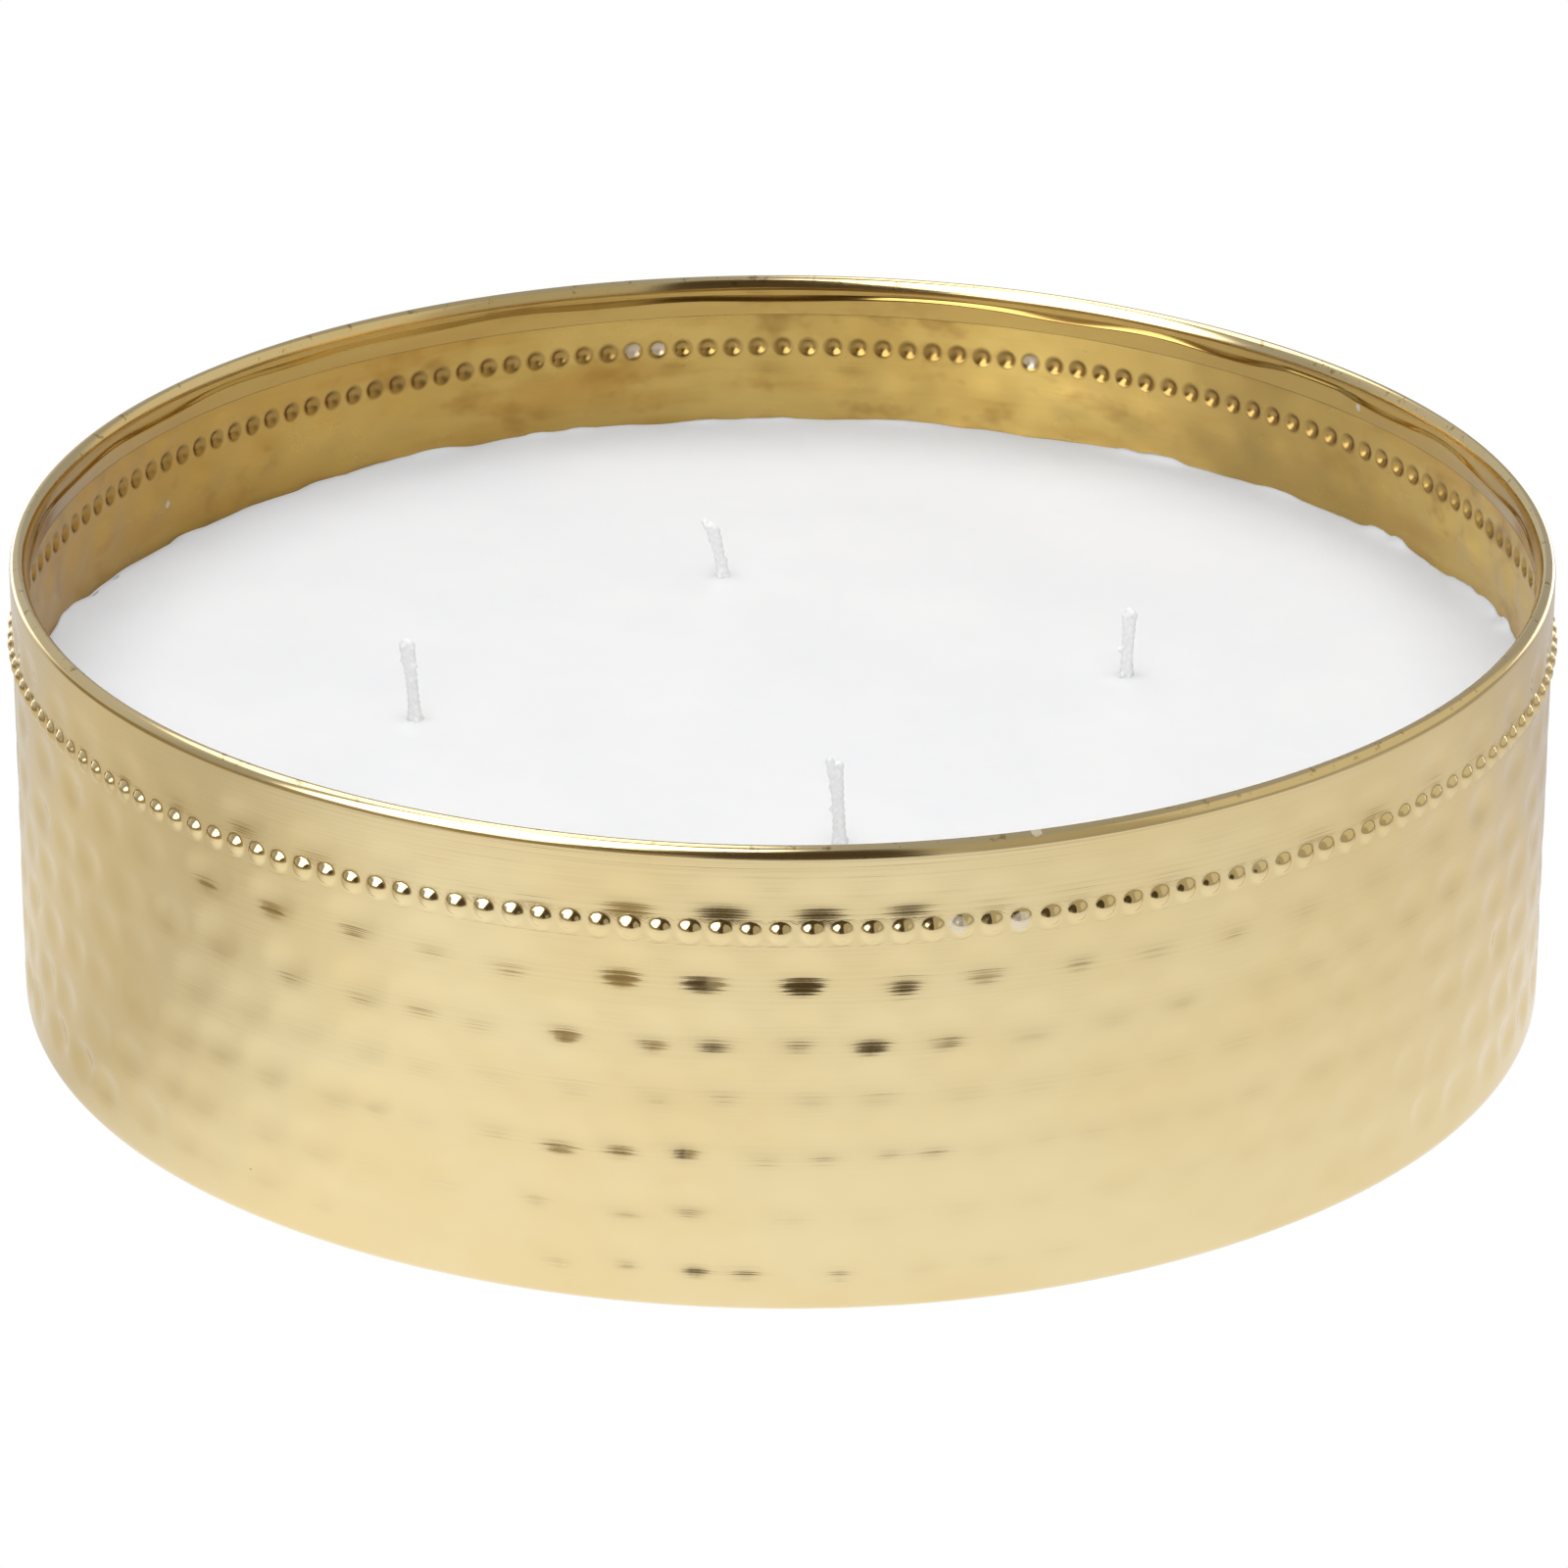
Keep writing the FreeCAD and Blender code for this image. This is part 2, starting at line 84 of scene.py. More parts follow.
# The hammered dents, row by row: how high the row's dents are centred, how far apart they are, how deep they
# are, and the ones near the front as pairs: degrees round from the front, and how hard the blow was. The rest
# of each row is spread evenly with small random shifts.
DENT_ROWS = (
    (62.6, 12.6, 0.34, ((-34.0, 0.7), (-27.6, 0.4), (-21.2, 0.4), (-17.0, 0.5), (-10.4, 1.05), (-3.9, 1.2),
                        (2.6, 1.1), (8.6, 0.75), (14.6, 0.45), (20.5, 0.4), (27.7, 0.45), (34.1, 0.5))),
    (52.2, 12.9, 0.47, ((-56.4, 0.8), (-50.9, 0.8), (-44.3, 1.0), (-37.9, 1.05), (-30.9, 0.8), (-24.7, 0.6),
                        (-18.8, 0.75), (-10.9, 1.1), (-5.2, 1.05), (1.5, 1.25), (8.4, 0.95), (14.0, 0.9),
                        (20.8, 0.75), (26.6, 0.6), (33.1, 0.75), (39.5, 0.6), (47.0, 0.6))),
    (42.9, 11.0, 0.47, ((-54.0, 0.9), (-48.7, 1.1), (-43.4, 1.0), (-36.6, 1.0), (-30.4, 0.85), (-25.6, 0.8),
                        (-21.2, 0.75), (-14.8, 1.15), (-8.7, 0.95), (-4.5, 1.1), (1.2, 0.85), (6.2, 1.15),
                        (11.3, 1.0), (17.5, 0.8), (23.5, 0.65), (28.9, 0.75), (36.0, 0.6), (40.4, 0.7),
                        (45.2, 0.7))),
    (34.9, 10.4, 0.40, ((-52.6, 0.9), (-46.0, 0.9), (-40.5, 0.8), (-35.6, 0.7), (-30.0, 0.8), (-25.6, 0.8),
                        (-20.0, 0.7), (-14.2, 0.9), (-8.4, 1.0), (-3.9, 0.95), (2.1, 0.85), (6.7, 0.9),
                        (12.7, 0.8), (17.9, 0.7), (23.0, 0.6), (28.0, 0.6))),
    (26.0, 9.8, 0.46, ((-43.6, 0.8), (-38.8, 0.9), (-33.0, 0.8), (-29.5, 0.8), (-25.6, 0.7), (-20.0, 0.8),
                       (-15.3, 1.2), (-11.0, 1.1), (-6.5, 1.2), (-1.0, 0.8), (3.0, 0.7), (7.4, 0.8),
                       (10.5, 0.8), (14.4, 0.6), (18.5, 0.6), (22.3, 0.6), (26.7, 0.6), (31.1, 0.6))),
    (16.7, 10.2, 0.44, ((-54.6, 0.9), (-49.0, 0.8), (-45.8, 0.8), (-39.2, 0.8), (-34.5, 0.8), (-29.5, 0.7),
                        (-24.0, 0.8), (-17.0, 1.1), (-10.6, 1.2), (-6.2, 1.0), (0.8, 0.8), (6.4, 0.7),
                        (12.7, 0.7), (17.9, 0.7), (24.0, 0.6), (30.2, 0.6))),
    (8.4, 10.5, 0.66, ((-52.4, 0.8), (-47.6, 0.8), (-44.3, 0.7), (-39.5, 0.8), (-34.2, 0.8), (-28.2, 0.7),
                       (-24.5, 0.7), (-15.4, 1.05), (-10.6, 1.05), (-5.8, 1.2), (-2.3, 1.2), (4.1, 1.0),
                       (9.9, 0.75), (14.9, 0.8), (20.0, 0.75), (25.9, 0.65), (31.0, 0.6), (38.0, 0.6))),
)
DENT_WIDE = 5.0
DENT_TALL = 3.9
DENT_EDGE = 1.6

# In the rows between these heights, the dents listed above are this many times as deep.
LOW_ROWS = (10.0, 30.0)
LOW_BLOW = 1.22

# How hard the other dents are hit, and how much harder about this many degrees to either side of the front.
DRAWN_BLOW = 0.64
END_BLOW = 0.24
END_BEARING = 76.0
END_SPREAD = 24.0

# The wicks: where each stands, how high it is over the wax, how far its tip leans, and which way in degrees.
WICKS = {
    "left": (-54.6, -12.4, 13.4, 1.2, 180.0),
    "back": (-9.2, 45.2, 9.2, 2.0, 172.0),
    "right": (52.1, 5.5, 11.2, 0.3, 8.0),
    "front": (8.4, -56.5, 13.3, 0.8, 187.0),
}
WICK_FOOT = 2.2

AROUND = np.arange(COLUMNS) * 2 * math.pi / COLUMNS
random.seed(41)


def front_angle(degrees):
    """The angle from +x of a place that is this many degrees round from the front, to the right."""
    return math.radians(degrees - 90)


def swell(angle, height, waves):
    """A slow unevenness of the sheet: the sum of a few waves round and up the wall."""
    total = np.zeros_like(angle)
    for size, round_count, up, start in waves:
        total += size * np.sin(round_count * angle + up * height + start)
    return total


def draw_waves(count, size, lowest, highest, steepest):
    """Random waves for swell, all of much the same size."""
    waves = []
    for _ in range(count):
        share = random.uniform(0.5, 1.0) * size / math.sqrt(count)
        up = random.uniform(-steepest, steepest)
        waves.append((share, random.randint(lowest, highest), up, random.uniform(0, 2 * math.pi)))
    return waves


def draw_dents():
    """Every dent: angle from +x, height, half width, half height and depth."""
    dents = []
    for height, spacing, depth, known in DENT_ROWS:
        step = math.degrees(spacing / TIN_RADIUS)
        harder = LOW_BLOW if LOW_ROWS[0] < height < LOW_ROWS[1] else 1.0
        places = [(place, blow * harder) for place, blow in known]
        first, last = known[0][0], known[-1][0]
        gap = 360 - (last - first)
        extra = round(gap / step) - 1
        for k in range(extra):
            place = last + (k + 1) * gap / (extra + 1) + random.uniform(-0.16, 0.16) * step
            from_end = abs(min(place, 360 - place) - END_BEARING)
            strength = DRAWN_BLOW + END_BLOW * max(0.0, 1 - from_end / END_SPREAD)
            places.append((place, strength * random.uniform(1.0, 1.6)))
        for place, blow in places:
            wide = DENT_WIDE * random.uniform(0.86, 1.12)
            tall = DENT_TALL * random.uniform(0.88, 1.08)
            up = height + random.uniform(-0.5, 0.5)
            dents.append((front_angle(place), up, wide, tall, depth * blow * random.uniform(0.92, 1.08)))
    return dents


DENTS = draw_dents()
WALL_WAVES = draw_waves(9, 0.10, 5, 34, 0.09)
RIM_WAVES = draw_waves(4, 0.12, 2, 7, 0.0)
CREASE_WAVES = draw_waves(6, 0.7, 3, 26, 0.0)


def pressed_in(angle, height):
    """How far the hammer has driven the wall in at these angles and heights, two arrays of one size."""
    total = np.zeros_like(angle)
    for centre, up, wide, tall, depth in DENTS:
        if np.min(np.abs(height - up)) > tall:
            continue
        across = (angle - centre + math.pi) % (2 * math.pi) - math.pi
        distance = (across * TIN_RADIUS / wide) ** 2 + ((height - up) / tall) ** 2
        hit = depth * np.clip(1 - distance, 0, 1) ** DENT_EDGE
        total = np.maximum(total, hit) + 0.25 * np.minimum(total, hit)
    return total


def wall_shift(angle, height):
    """How far the wall stands outwards from its plain cylinder, in millimetres."""
    height = np.full_like(angle, height) if np.isscalar(height) else height
    fade = np.clip((height - 1.0) / 4.0, 0, 1) * np.clip((TIN_HEIGHT - 3.0 - height) / 4.0, 0, 1)
    near_beads = 1 - 0.7 * np.exp(-(((height - BEAD_LEVEL) / 1.9) ** 2))
    out = swell(angle, height, WALL_WAVES) * fade - pressed_in(angle, height) * fade * near_beads
    return out + swell(angle, np.zeros_like(angle), RIM_WAVES)


class Skin:
    """The points and faces of one closed mesh. Each point carries its run along the sheet, for the lines."""

    def __init__(self):
        self.points = []
        self.runs = []
        self.faces = []

    def add(self, radius, angle, height, run):
        """A point on a cylinder, in millimetres. Returns its number."""
        self.points.append((radius * math.cos(angle) * MM, radius * math.sin(angle) * MM, height * MM))
        self.runs.append(run)
        return len(self.points) - 1

    def ring(self, radius, height, run, columns=COLUMNS):
        """A ring of points. The radius and the height are one number or one number each."""
        angles = np.arange(columns) * 2 * math.pi / columns
        radii = np.broadcast_to(radius, (columns,))
        heights = np.broadcast_to(height, (columns,))
        return [self.add(float(r), float(a), float(h), run) for r, a, h in zip(radii, angles, heights)]

    def bridge(self, first, second):
        """Quads between two rings of as many points."""
        count = len(first)
        for k in range(count):
            after = (k + 1) % count
            self.faces.append((first[k], first[after], second[after], second[k]))

    def halve(self, first, second):
        """Faces between a ring and one of half as many points."""
        count = len(second)
        for k in range(count):
            after = (k + 1) % count
            last = first[(2 * k + 2) % len(first)]
            self.faces.append((first[2 * k], first[2 * k + 1], last, second[after], second[k]))

    def double(self, first, second):
        """Faces between a ring and one of twice as many points."""
        count = len(first)
        for k in range(count):
            after = (k + 1) % count
            last = second[(2 * k + 2) % len(second)]
            self.faces.append((first[k], first[after], last, second[2 * k + 1], second[2 * k]))

    def mesh_object(self, name):
        """The finished object."""
        mesh = bpy.data.meshes.new(name)
        mesh.from_pydata(self.points, [], self.faces)
        mesh.validate()
        mesh.shade_smooth()
        run = mesh.attributes.new("sheet_run", "FLOAT", "POINT")
        run.data.foreach_set("value", np.array(self.runs, np.float32))
        mesh.update()
        made = bpy.data.objects.new(name, mesh)
        bpy.context.scene.collection.objects.link(made)
        return made


def square_loop(count):
    """The points round a square grid of count cells a side, anticlockwise from the lower left."""
    lower = [(i, 0) for i in range(count)]
    right = [(count, j) for j in range(count)]
    upper = [(i, count) for i in range(count, 0, -1)]
    left = [(0, j) for j in range(count, 0, -1)]
    return lower + right + upper + left


def bead_height(distance, radius, proud):
    """How far a bead stands out at this distance from its centre: a ball's cap that flares into the wall."""
    ball, flare, lean = BALL_SHARE * radius, FLARE_SHARE * radius, BEAD_LEAN
    turn = ball * math.sin(lean)
    reach = turn + flare * math.sin(lean)
    full = (ball + flare) * (1 - math.cos(lean))
    if distance >= reach:
        return 0.0
    if distance <= turn:
        return proud / full * (full - ball + math.sqrt(ball**2 - distance**2))
    return proud / full * (flare - math.sqrt(flare**2 - (reach - distance) ** 2))


def bead_band(skin, first, second, wall, bead_radius, proud, run, shifts):
    """The ring of beads between two rings of points, one square cell each, made of rings about its middle."""
    cells = COLUMNS_PER_BEAD
    first_height = skin.points[first[0]][2] / MM
    second_height = skin.points[second[0]][2] / MM
    seams = []
    for k in range(BEADS):
        column = k * cells
        angle = AROUND[column]
        seam = []
        for j in range(1, cells):
            height = first_height + (second_height - first_height) * j / cells
            seam.append(skin.add(wall + float(shifts(angle, height)), angle, height, run))
        seams.append(seam)
    direction = 1 if second_height > first_height else -1
    loop = square_loop(cells)
    for k in range(BEADS):
        centre_angle = AROUND[k * cells] + math.pi / BEADS + BEAD_JITTER[k][0] / TIN_RADIUS
        middle = BEAD_LEVEL + BEAD_JITTER[k][1]
        size = BEAD_JITTER[k][2]
        edge = []
        for i, j in loop:
            column = (k * cells + i) % COLUMNS
            if j == 0:
                edge.append(first[column])
            elif j == cells:
                edge.append(second[column])
            else:
                edge.append(seams[(k + (i == cells)) % BEADS][j - 1])
        rings = [edge]
        for share in (1.03, 0.90, 0.76, 0.58, 0.38):
            distance = share * bead_radius * size
            ring = []
            for i, j in loop:
                turn = math.atan2(j - cells / 2, i - cells / 2)
                ring.append(bead_point(skin, wall, centre_angle, middle, distance, turn, direction,
                                       bead_radius * size, proud * size, run, shifts))
            rings.append(ring)
        for outer, inner in zip(rings, rings[1:]):
            skin.bridge(outer, inner)
        inside = {place: inner for place, inner in zip(loop, rings[-1])}
        reach = 0.38 * bead_radius * size
        for i in range(1, cells):
            for j in range(1, cells):
                x, y = (i - cells / 2) / (cells / 2), (j - cells / 2) / (cells / 2)
                u, v = x * math.sqrt(1 - y * y / 2), y * math.sqrt(1 - x * x / 2)
                distance, turn = reach * math.hypot(u, v), math.atan2(v, u)
                inside[i, j] = bead_point(skin, wall, centre_angle, middle, distance, turn, direction,
                                          bead_radius * size, proud * size, run, shifts)
        for i in range(cells):
            for j in range(cells):
                skin.faces.append((inside[i, j], inside[i + 1, j], inside[i + 1, j + 1], inside[i, j + 1]))


def bead_point(skin, wall, angle, middle, distance, turn, direction, radius, proud, run, shifts):
    """One point of a bead, at a distance and a turn about the bead's middle."""
    there = angle + distance * math.cos(turn) / TIN_RADIUS
    height = middle + direction * distance * math.sin(turn)
    out = wall + float(shifts(there, height)) + bead_height(distance, radius, proud)
    return skin.add(out, there, height, run)


BEAD_JITTER = [
    (random.gauss(0, 0.05), random.gauss(0, 0.06), random.uniform(0.95, 1.01)) for _ in range(BEADS)
]


def spread(start, end, step):
    """Evenly spaced numbers from start to end, with both ends, about this far apart."""
    count = max(1, round(abs(end - start) / step))
    return [start + (end - start) * k / count for k in range(count + 1)]


def arc_points(centre, across, up, start, end, count):
    """Points on a quarter or half of an ellipse, as (radius, height) pairs. The angles are in degrees."""
    found = []
    for k in range(count + 1):
        turn = math.radians(start + (end - start) * k / count)
        found.append((centre[0] + across * math.cos(turn), centre[1] + up * math.sin(turn)))
    return found


def make_tin():
    """The whole sheet as one closed skin: underside, wall, beads, rolled rim, hem, inside and floor."""
    skin = Skin()
    inner = TIN_RADIUS - SHEET
    rim = swell(AROUND, np.zeros_like(AROUND), RIM_WAVES)
    run = [0.0]
    last = [None, (0.0, PANEL_RISE)]

    def station(radius, height, link="bridge", columns=COLUMNS):
        """The sheet's next ring, joined to the one before."""
        mean = (float(np.mean(radius)), float(np.mean(height)))
        run[0] += math.dist(mean, last[1])
        ring = skin.ring(radius, height, run[0], columns)
        if last[0] is not None:
            getattr(skin, link)(last[0], ring)
        last[0], last[1] = ring, mean
        return ring

    def wall_rings(radius, heights):
        """Rings up or down the wall, with its dents."""
        for height in heights:
            station(radius + wall_shift(AROUND, height), height)

    # The underside, from its middle outwards.
    middle = station(30.0, PANEL_RISE, columns=COLUMNS // 8)
    skin.faces.append(tuple(reversed(middle)))
    station(60.0, PANEL_RISE, "double", COLUMNS // 4)
    station(80.0, PANEL_RISE, "double", COLUMNS // 2)
    station(96.0, PANEL_RISE, "double")
    for radius in spread(98.0, PANEL_RADIUS - 0.6, 2.0):
        station(radius, PANEL_RISE)
    station(PANEL_RADIUS, PANEL_RISE - 0.06)
    station(PANEL_RADIUS + PANEL_STEP / 2, PANEL_RISE / 2)
    station(PANEL_RADIUS + PANEL_STEP, 0.06)
    station(PANEL_RADIUS + PANEL_STEP + 0.6, 0.0)
    for radius in spread(108.0, TIN_RADIUS - CORNER_RADIUS - 0.5, 1.6):
        station(radius + rim * (radius - 106) / 9, 0.0)
    corner = (TIN_RADIUS - CORNER_RADIUS, CORNER_RADIUS)
    for radius, height in arc_points(corner, CORNER_RADIUS, CORNER_RADIUS, 270, 360, 6):
        station(radius + rim, height)

    # The wall, up to the beads and past them.
    low, high = BEAD_LEVEL - BAND_HALF, BEAD_LEVEL + BAND_HALF
    wall_rings(TIN_RADIUS, spread(CORNER_RADIUS + 0.9, low, 1.0))
    below = last[0]
    above = skin.ring(TIN_RADIUS + wall_shift(AROUND, high), high, run[0] + 2 * BAND_HALF)
    run[0] += BAND_HALF
    bead_band(skin, below, above, TIN_RADIUS, BEAD_RADIUS, BEAD_PROUD, run[0], point_shift)
    run[0] += BAND_HALF
    last[0], last[1] = above, (TIN_RADIUS, high)
    roll_level = TIN_HEIGHT - ROLL_RISE
    wall_rings(TIN_RADIUS, spread(high, roll_level - 0.5, 1.0)[1:])

    # The roll, the hem inside it, and the hem's raw edge.
    half = FOLD_THICKNESS / 2
    for radius, height in arc_points((TIN_RADIUS - half, roll_level), half, ROLL_RISE, 0, 90, 8):
        station(radius + rim, height)
    runs = {"roll": run[0]}
    roll_middle = (TIN_RADIUS - half, TIN_HEIGHT - ROLL_FALL)
    for radius, height in arc_points(roll_middle, half, ROLL_FALL, 90, 180, 10)[1:]:
        station(radius + rim, height)
    crease = TIN_HEIGHT - CREASE_DEPTH + swell(AROUND, np.zeros_like(AROUND), CREASE_WAVES)
    crease = np.minimum(crease, TIN_HEIGHT - ROLL_FALL - 0.3)
    hem = TIN_RADIUS - FOLD_THICKNESS
    edge = TIN_HEIGHT - HEM_DEPTH + 0.12 * np.sin(5 * AROUND + 1.0)
    bulge = 0.30
    for share in (0.35, 0.75, 1.0):
        height = TIN_HEIGHT - ROLL_FALL + (crease - TIN_HEIGHT + ROLL_FALL) * share
        station(hem + rim - bulge * share**1.5, height)
    for share in (0.12, 0.4, 0.7, 0.94, 1.0):
        height = crease + (edge - crease) * share
        station(hem + rim - bulge + 0.42 * share, height)
    station(hem + rim + SHEET - 0.12, edge)
    runs["edge"] = run[0]
    station(hem + rim + SHEET - 0.04, edge + 0.12)
    station(hem + rim + SHEET, roll_level - 1.5)
    fold = TIN_RADIUS - half
    for radius, height in arc_points((fold, roll_level - 0.4), half - SHEET, 0.9, 180, 0, 6):
        station(radius + rim, height)

    # The inside of the wall, its dimples, and the floor.
    runs["under"] = run[0]
    wall_rings(inner, spread(roll_level - 1.5, high, 1.2))
    above = last[0]
    below = skin.ring(inner + wall_shift(AROUND, low), low, run[0] + 2 * BAND_HALF)
    run[0] += BAND_HALF
    bead_band(skin, above, below, inner, BEAD_RADIUS * 0.9, BEAD_PROUD * 0.97, run[0], point_shift)
    run[0] += BAND_HALF
    last[0], last[1] = below, (inner, low)
    wall_rings(inner, spread(low, WAX_LEVEL - 4, 1.1)[1:])
    wall_rings(inner, spread(WAX_LEVEL - 4, CORNER_RADIUS + 1.0, 2.5)[1:])
    for radius, height in arc_points(corner, CORNER_RADIUS - SHEET, CORNER_RADIUS - SHEET, 360, 270, 4):
        station(radius + rim, height)
    floor = PANEL_RISE + SHEET
    station(108.0, SHEET)
    station(PANEL_RADIUS + PANEL_STEP + 0.3, SHEET)
    station(PANEL_RADIUS + 0.3, floor)
    station(96.0, floor)
    station(80.0, floor, "halve", COLUMNS // 2)
    station(60.0, floor, "halve", COLUMNS // 4)
    middle = station(30.0, floor, "halve", COLUMNS // 8)
    skin.faces.append(tuple(middle))
    return skin.mesh_object("hammered_tin"), runs


def shift_table():
    """The wall's shift on a fine grid over the bead band."""
    heights = np.linspace(BEAD_LEVEL - BAND_HALF - 0.2, BEAD_LEVEL + BAND_HALF + 0.2, 9)
    return heights, np.array([wall_shift(AROUND, float(h)) for h in heights])


SHIFT_HEIGHTS, SHIFT_VALUES = shift_table()


def point_shift(angle, height):
    """The wall's shift at one place in the bead band, from the grid."""
    place = (angle % (2 * math.pi)) / (2 * math.pi) * COLUMNS
    column = int(place) % COLUMNS
    share = place - int(place)
    level = (height - SHIFT_HEIGHTS[0]) / (SHIFT_HEIGHTS[1] - SHIFT_HEIGHTS[0])
    row = min(max(int(level), 0), len(SHIFT_HEIGHTS) - 2)
    rise = min(max(level - row, 0), 1)
    after = (column + 1) % COLUMNS
    lower = SHIFT_VALUES[row][column] * (1 - share) + SHIFT_VALUES[row][after] * share
    upper = SHIFT_VALUES[row + 1][column] * (1 - share) + SHIFT_VALUES[row + 1][after] * share
    return lower * (1 - rise) + upper * rise


# How far the wax's edge goes into the sheet, how far it shrinks from it, and the smears over it by stretch of
# wall: first and last angle in degrees from +x, how many, and the highest.
WAX_EDGE = 0.15
WAX_GAP = 0.45
SMEAR_STRETCHES = ((12, 62, 17, 1.1), (62, 118, 9, 0.45), (118, 168, 8, 0.5), (168, 372, 16, 0.4))


def draw_smears():
    """Where wax clings to the wall over the fill: angle and half width in degrees, and height."""
    smears = []
    for first, last, count, highest in SMEAR_STRETCHES:
        for _ in range(count):
            place = random.uniform(first, last)
            smears.append((place, random.uniform(0.6, 2.4), random.uniform(0.2, highest)))
    return smears


SMEARS = draw_smears()


def smeared(angle):
    """How far the wax climbs the wall at this angle, in millimetres."""
    total = np.zeros_like(angle)
    for centre, wide, high in SMEARS:
        across = (np.degrees(angle) - centre + 180) % 360 - 180
        total = np.maximum(total, high * np.exp(-((across / wide) ** 4)))
    return total


def shrunk(angle):
    """One where the wax has drawn away from the wall, at the back left, and nothing elsewhere."""
    across = (np.degrees(angle) - 146) / 26
    return np.clip(1.3 - across**2 + 0.5 * np.sin(17 * angle) + 0.3 * np.sin(41 * angle), 0, 1)


def wax_height(x, y, radius, angle):
    """The wax's surface: a slow unevenness, a low mound at each wick, and a lip at the wall."""
    slow = 0.10 * np.sin(x / 17 + 0.4) * np.cos(y / 21) + 0.07 * np.sin((x + y) / 11 + 1.3)
    level = WAX_LEVEL + slow
    for east, north, *_ in WICKS.values():
        away = np.hypot(x - east, y - north)
        level = level + 0.85 * np.exp(-((away / 2.3) ** 2)) - 0.28 * np.exp(-((away / 9.0) ** 2))
    lip = np.clip((radius - 109) / 5.5, 0, 1) ** 3
    uneven = 0.5 + 0.28 * np.sin(9 * angle + 1) + 0.2 * np.sin(23 * angle + 2) + 0.12 * np.sin(61 * angle)
    climb = np.clip((radius - 112.4) / 1.9, 0, 1) ** 1.5
    return level + 0.55 * lip * uneven + climb * (smeared(angle) - 0.75 * shrunk(angle))


def make_wax():
    """The wax: its top with the lip at the wall, and its side and underside inside the tin."""
    skin = Skin()
    edge = TIN_RADIUS - SHEET + WAX_EDGE + wall_shift(AROUND, WAX_LEVEL) - WAX_GAP * shrunk(AROUND)
    bottom = PANEL_RISE + SHEET + 0.05
    last = skin.ring(30.0, bottom, 0)
    skin.faces.append(tuple(reversed(last)))
    side = 113.8
    for radius, height in ((100.0, bottom), (112.0, 2.6), (side, 5.0), (side, 24.0), (side, WAX_LEVEL - 3.0)):
        ring = skin.ring(radius, height, 0)
        skin.bridge(last, ring)
        last = ring
    radii = [edge, edge - 0.45, edge - 0.9]
    radii += spread(113.0, 106.0, 0.8)
    radii += spread(106.0, 3.0, 1.25)[1:]
    for radius in radii:
        radius = np.broadcast_to(radius, (COLUMNS,))
        height = wax_height(radius * np.cos(AROUND), radius * np.sin(AROUND), radius, AROUND)
        ring = skin.ring(radius, height, 0)
        skin.bridge(last, ring)
        last = ring
    skin.faces.append(tuple(last))
    return skin.mesh_object("candle_wax")


def wick_line(name, share):
    """A place on a wick's middle line, at this share of its whole length."""
    east, north, tall, lean, way = WICKS[name]
    top = WAX_LEVEL + tall
    height = WICK_FOOT + (top - WICK_FOOT) * share
    over = max(0.0, (height - WAX_LEVEL) / tall)
    bend = lean * over**1.3
    turn = math.radians(way)
    return Vector((east + bend * math.cos(turn), north + bend * math.sin(turn), height))


def add_tube(verts, faces, points, radii, sides=8):
    """Adds a closed round tube along a line to a mesh's points and faces."""
    base = len(verts)
    rows = [range(base + k * sides, base + (k + 1) * sides) for k in range(len(points))]
    for k, place in enumerate(points):
        ahead = (points[min(k + 1, len(points) - 1)] - points[max(k - 1, 0)]).normalized()
        side = ahead.orthogonal() if k == 0 else (side - ahead * side.dot(ahead))
        side = side.normalized()
        other = ahead.cross(side)
        for j in range(sides):
            turn = 2 * math.pi * j / sides
            verts.append(place + (side * math.cos(turn) + other * math.sin(turn)) * radii[k])
    for row, following in zip(rows, rows[1:]):
        for j in range(sides):
            after = (j + 1) % sides
            faces.append((row[j], row[after], following[after], following[j]))
    faces.append(tuple(reversed(rows[0])))
    faces.append(tuple(rows[-1]))


# How many crumbs of wax each wick has, and the share of them that is not at its foot.
CRUMBS = 9
CRUMBS_HIGHER = 0.35


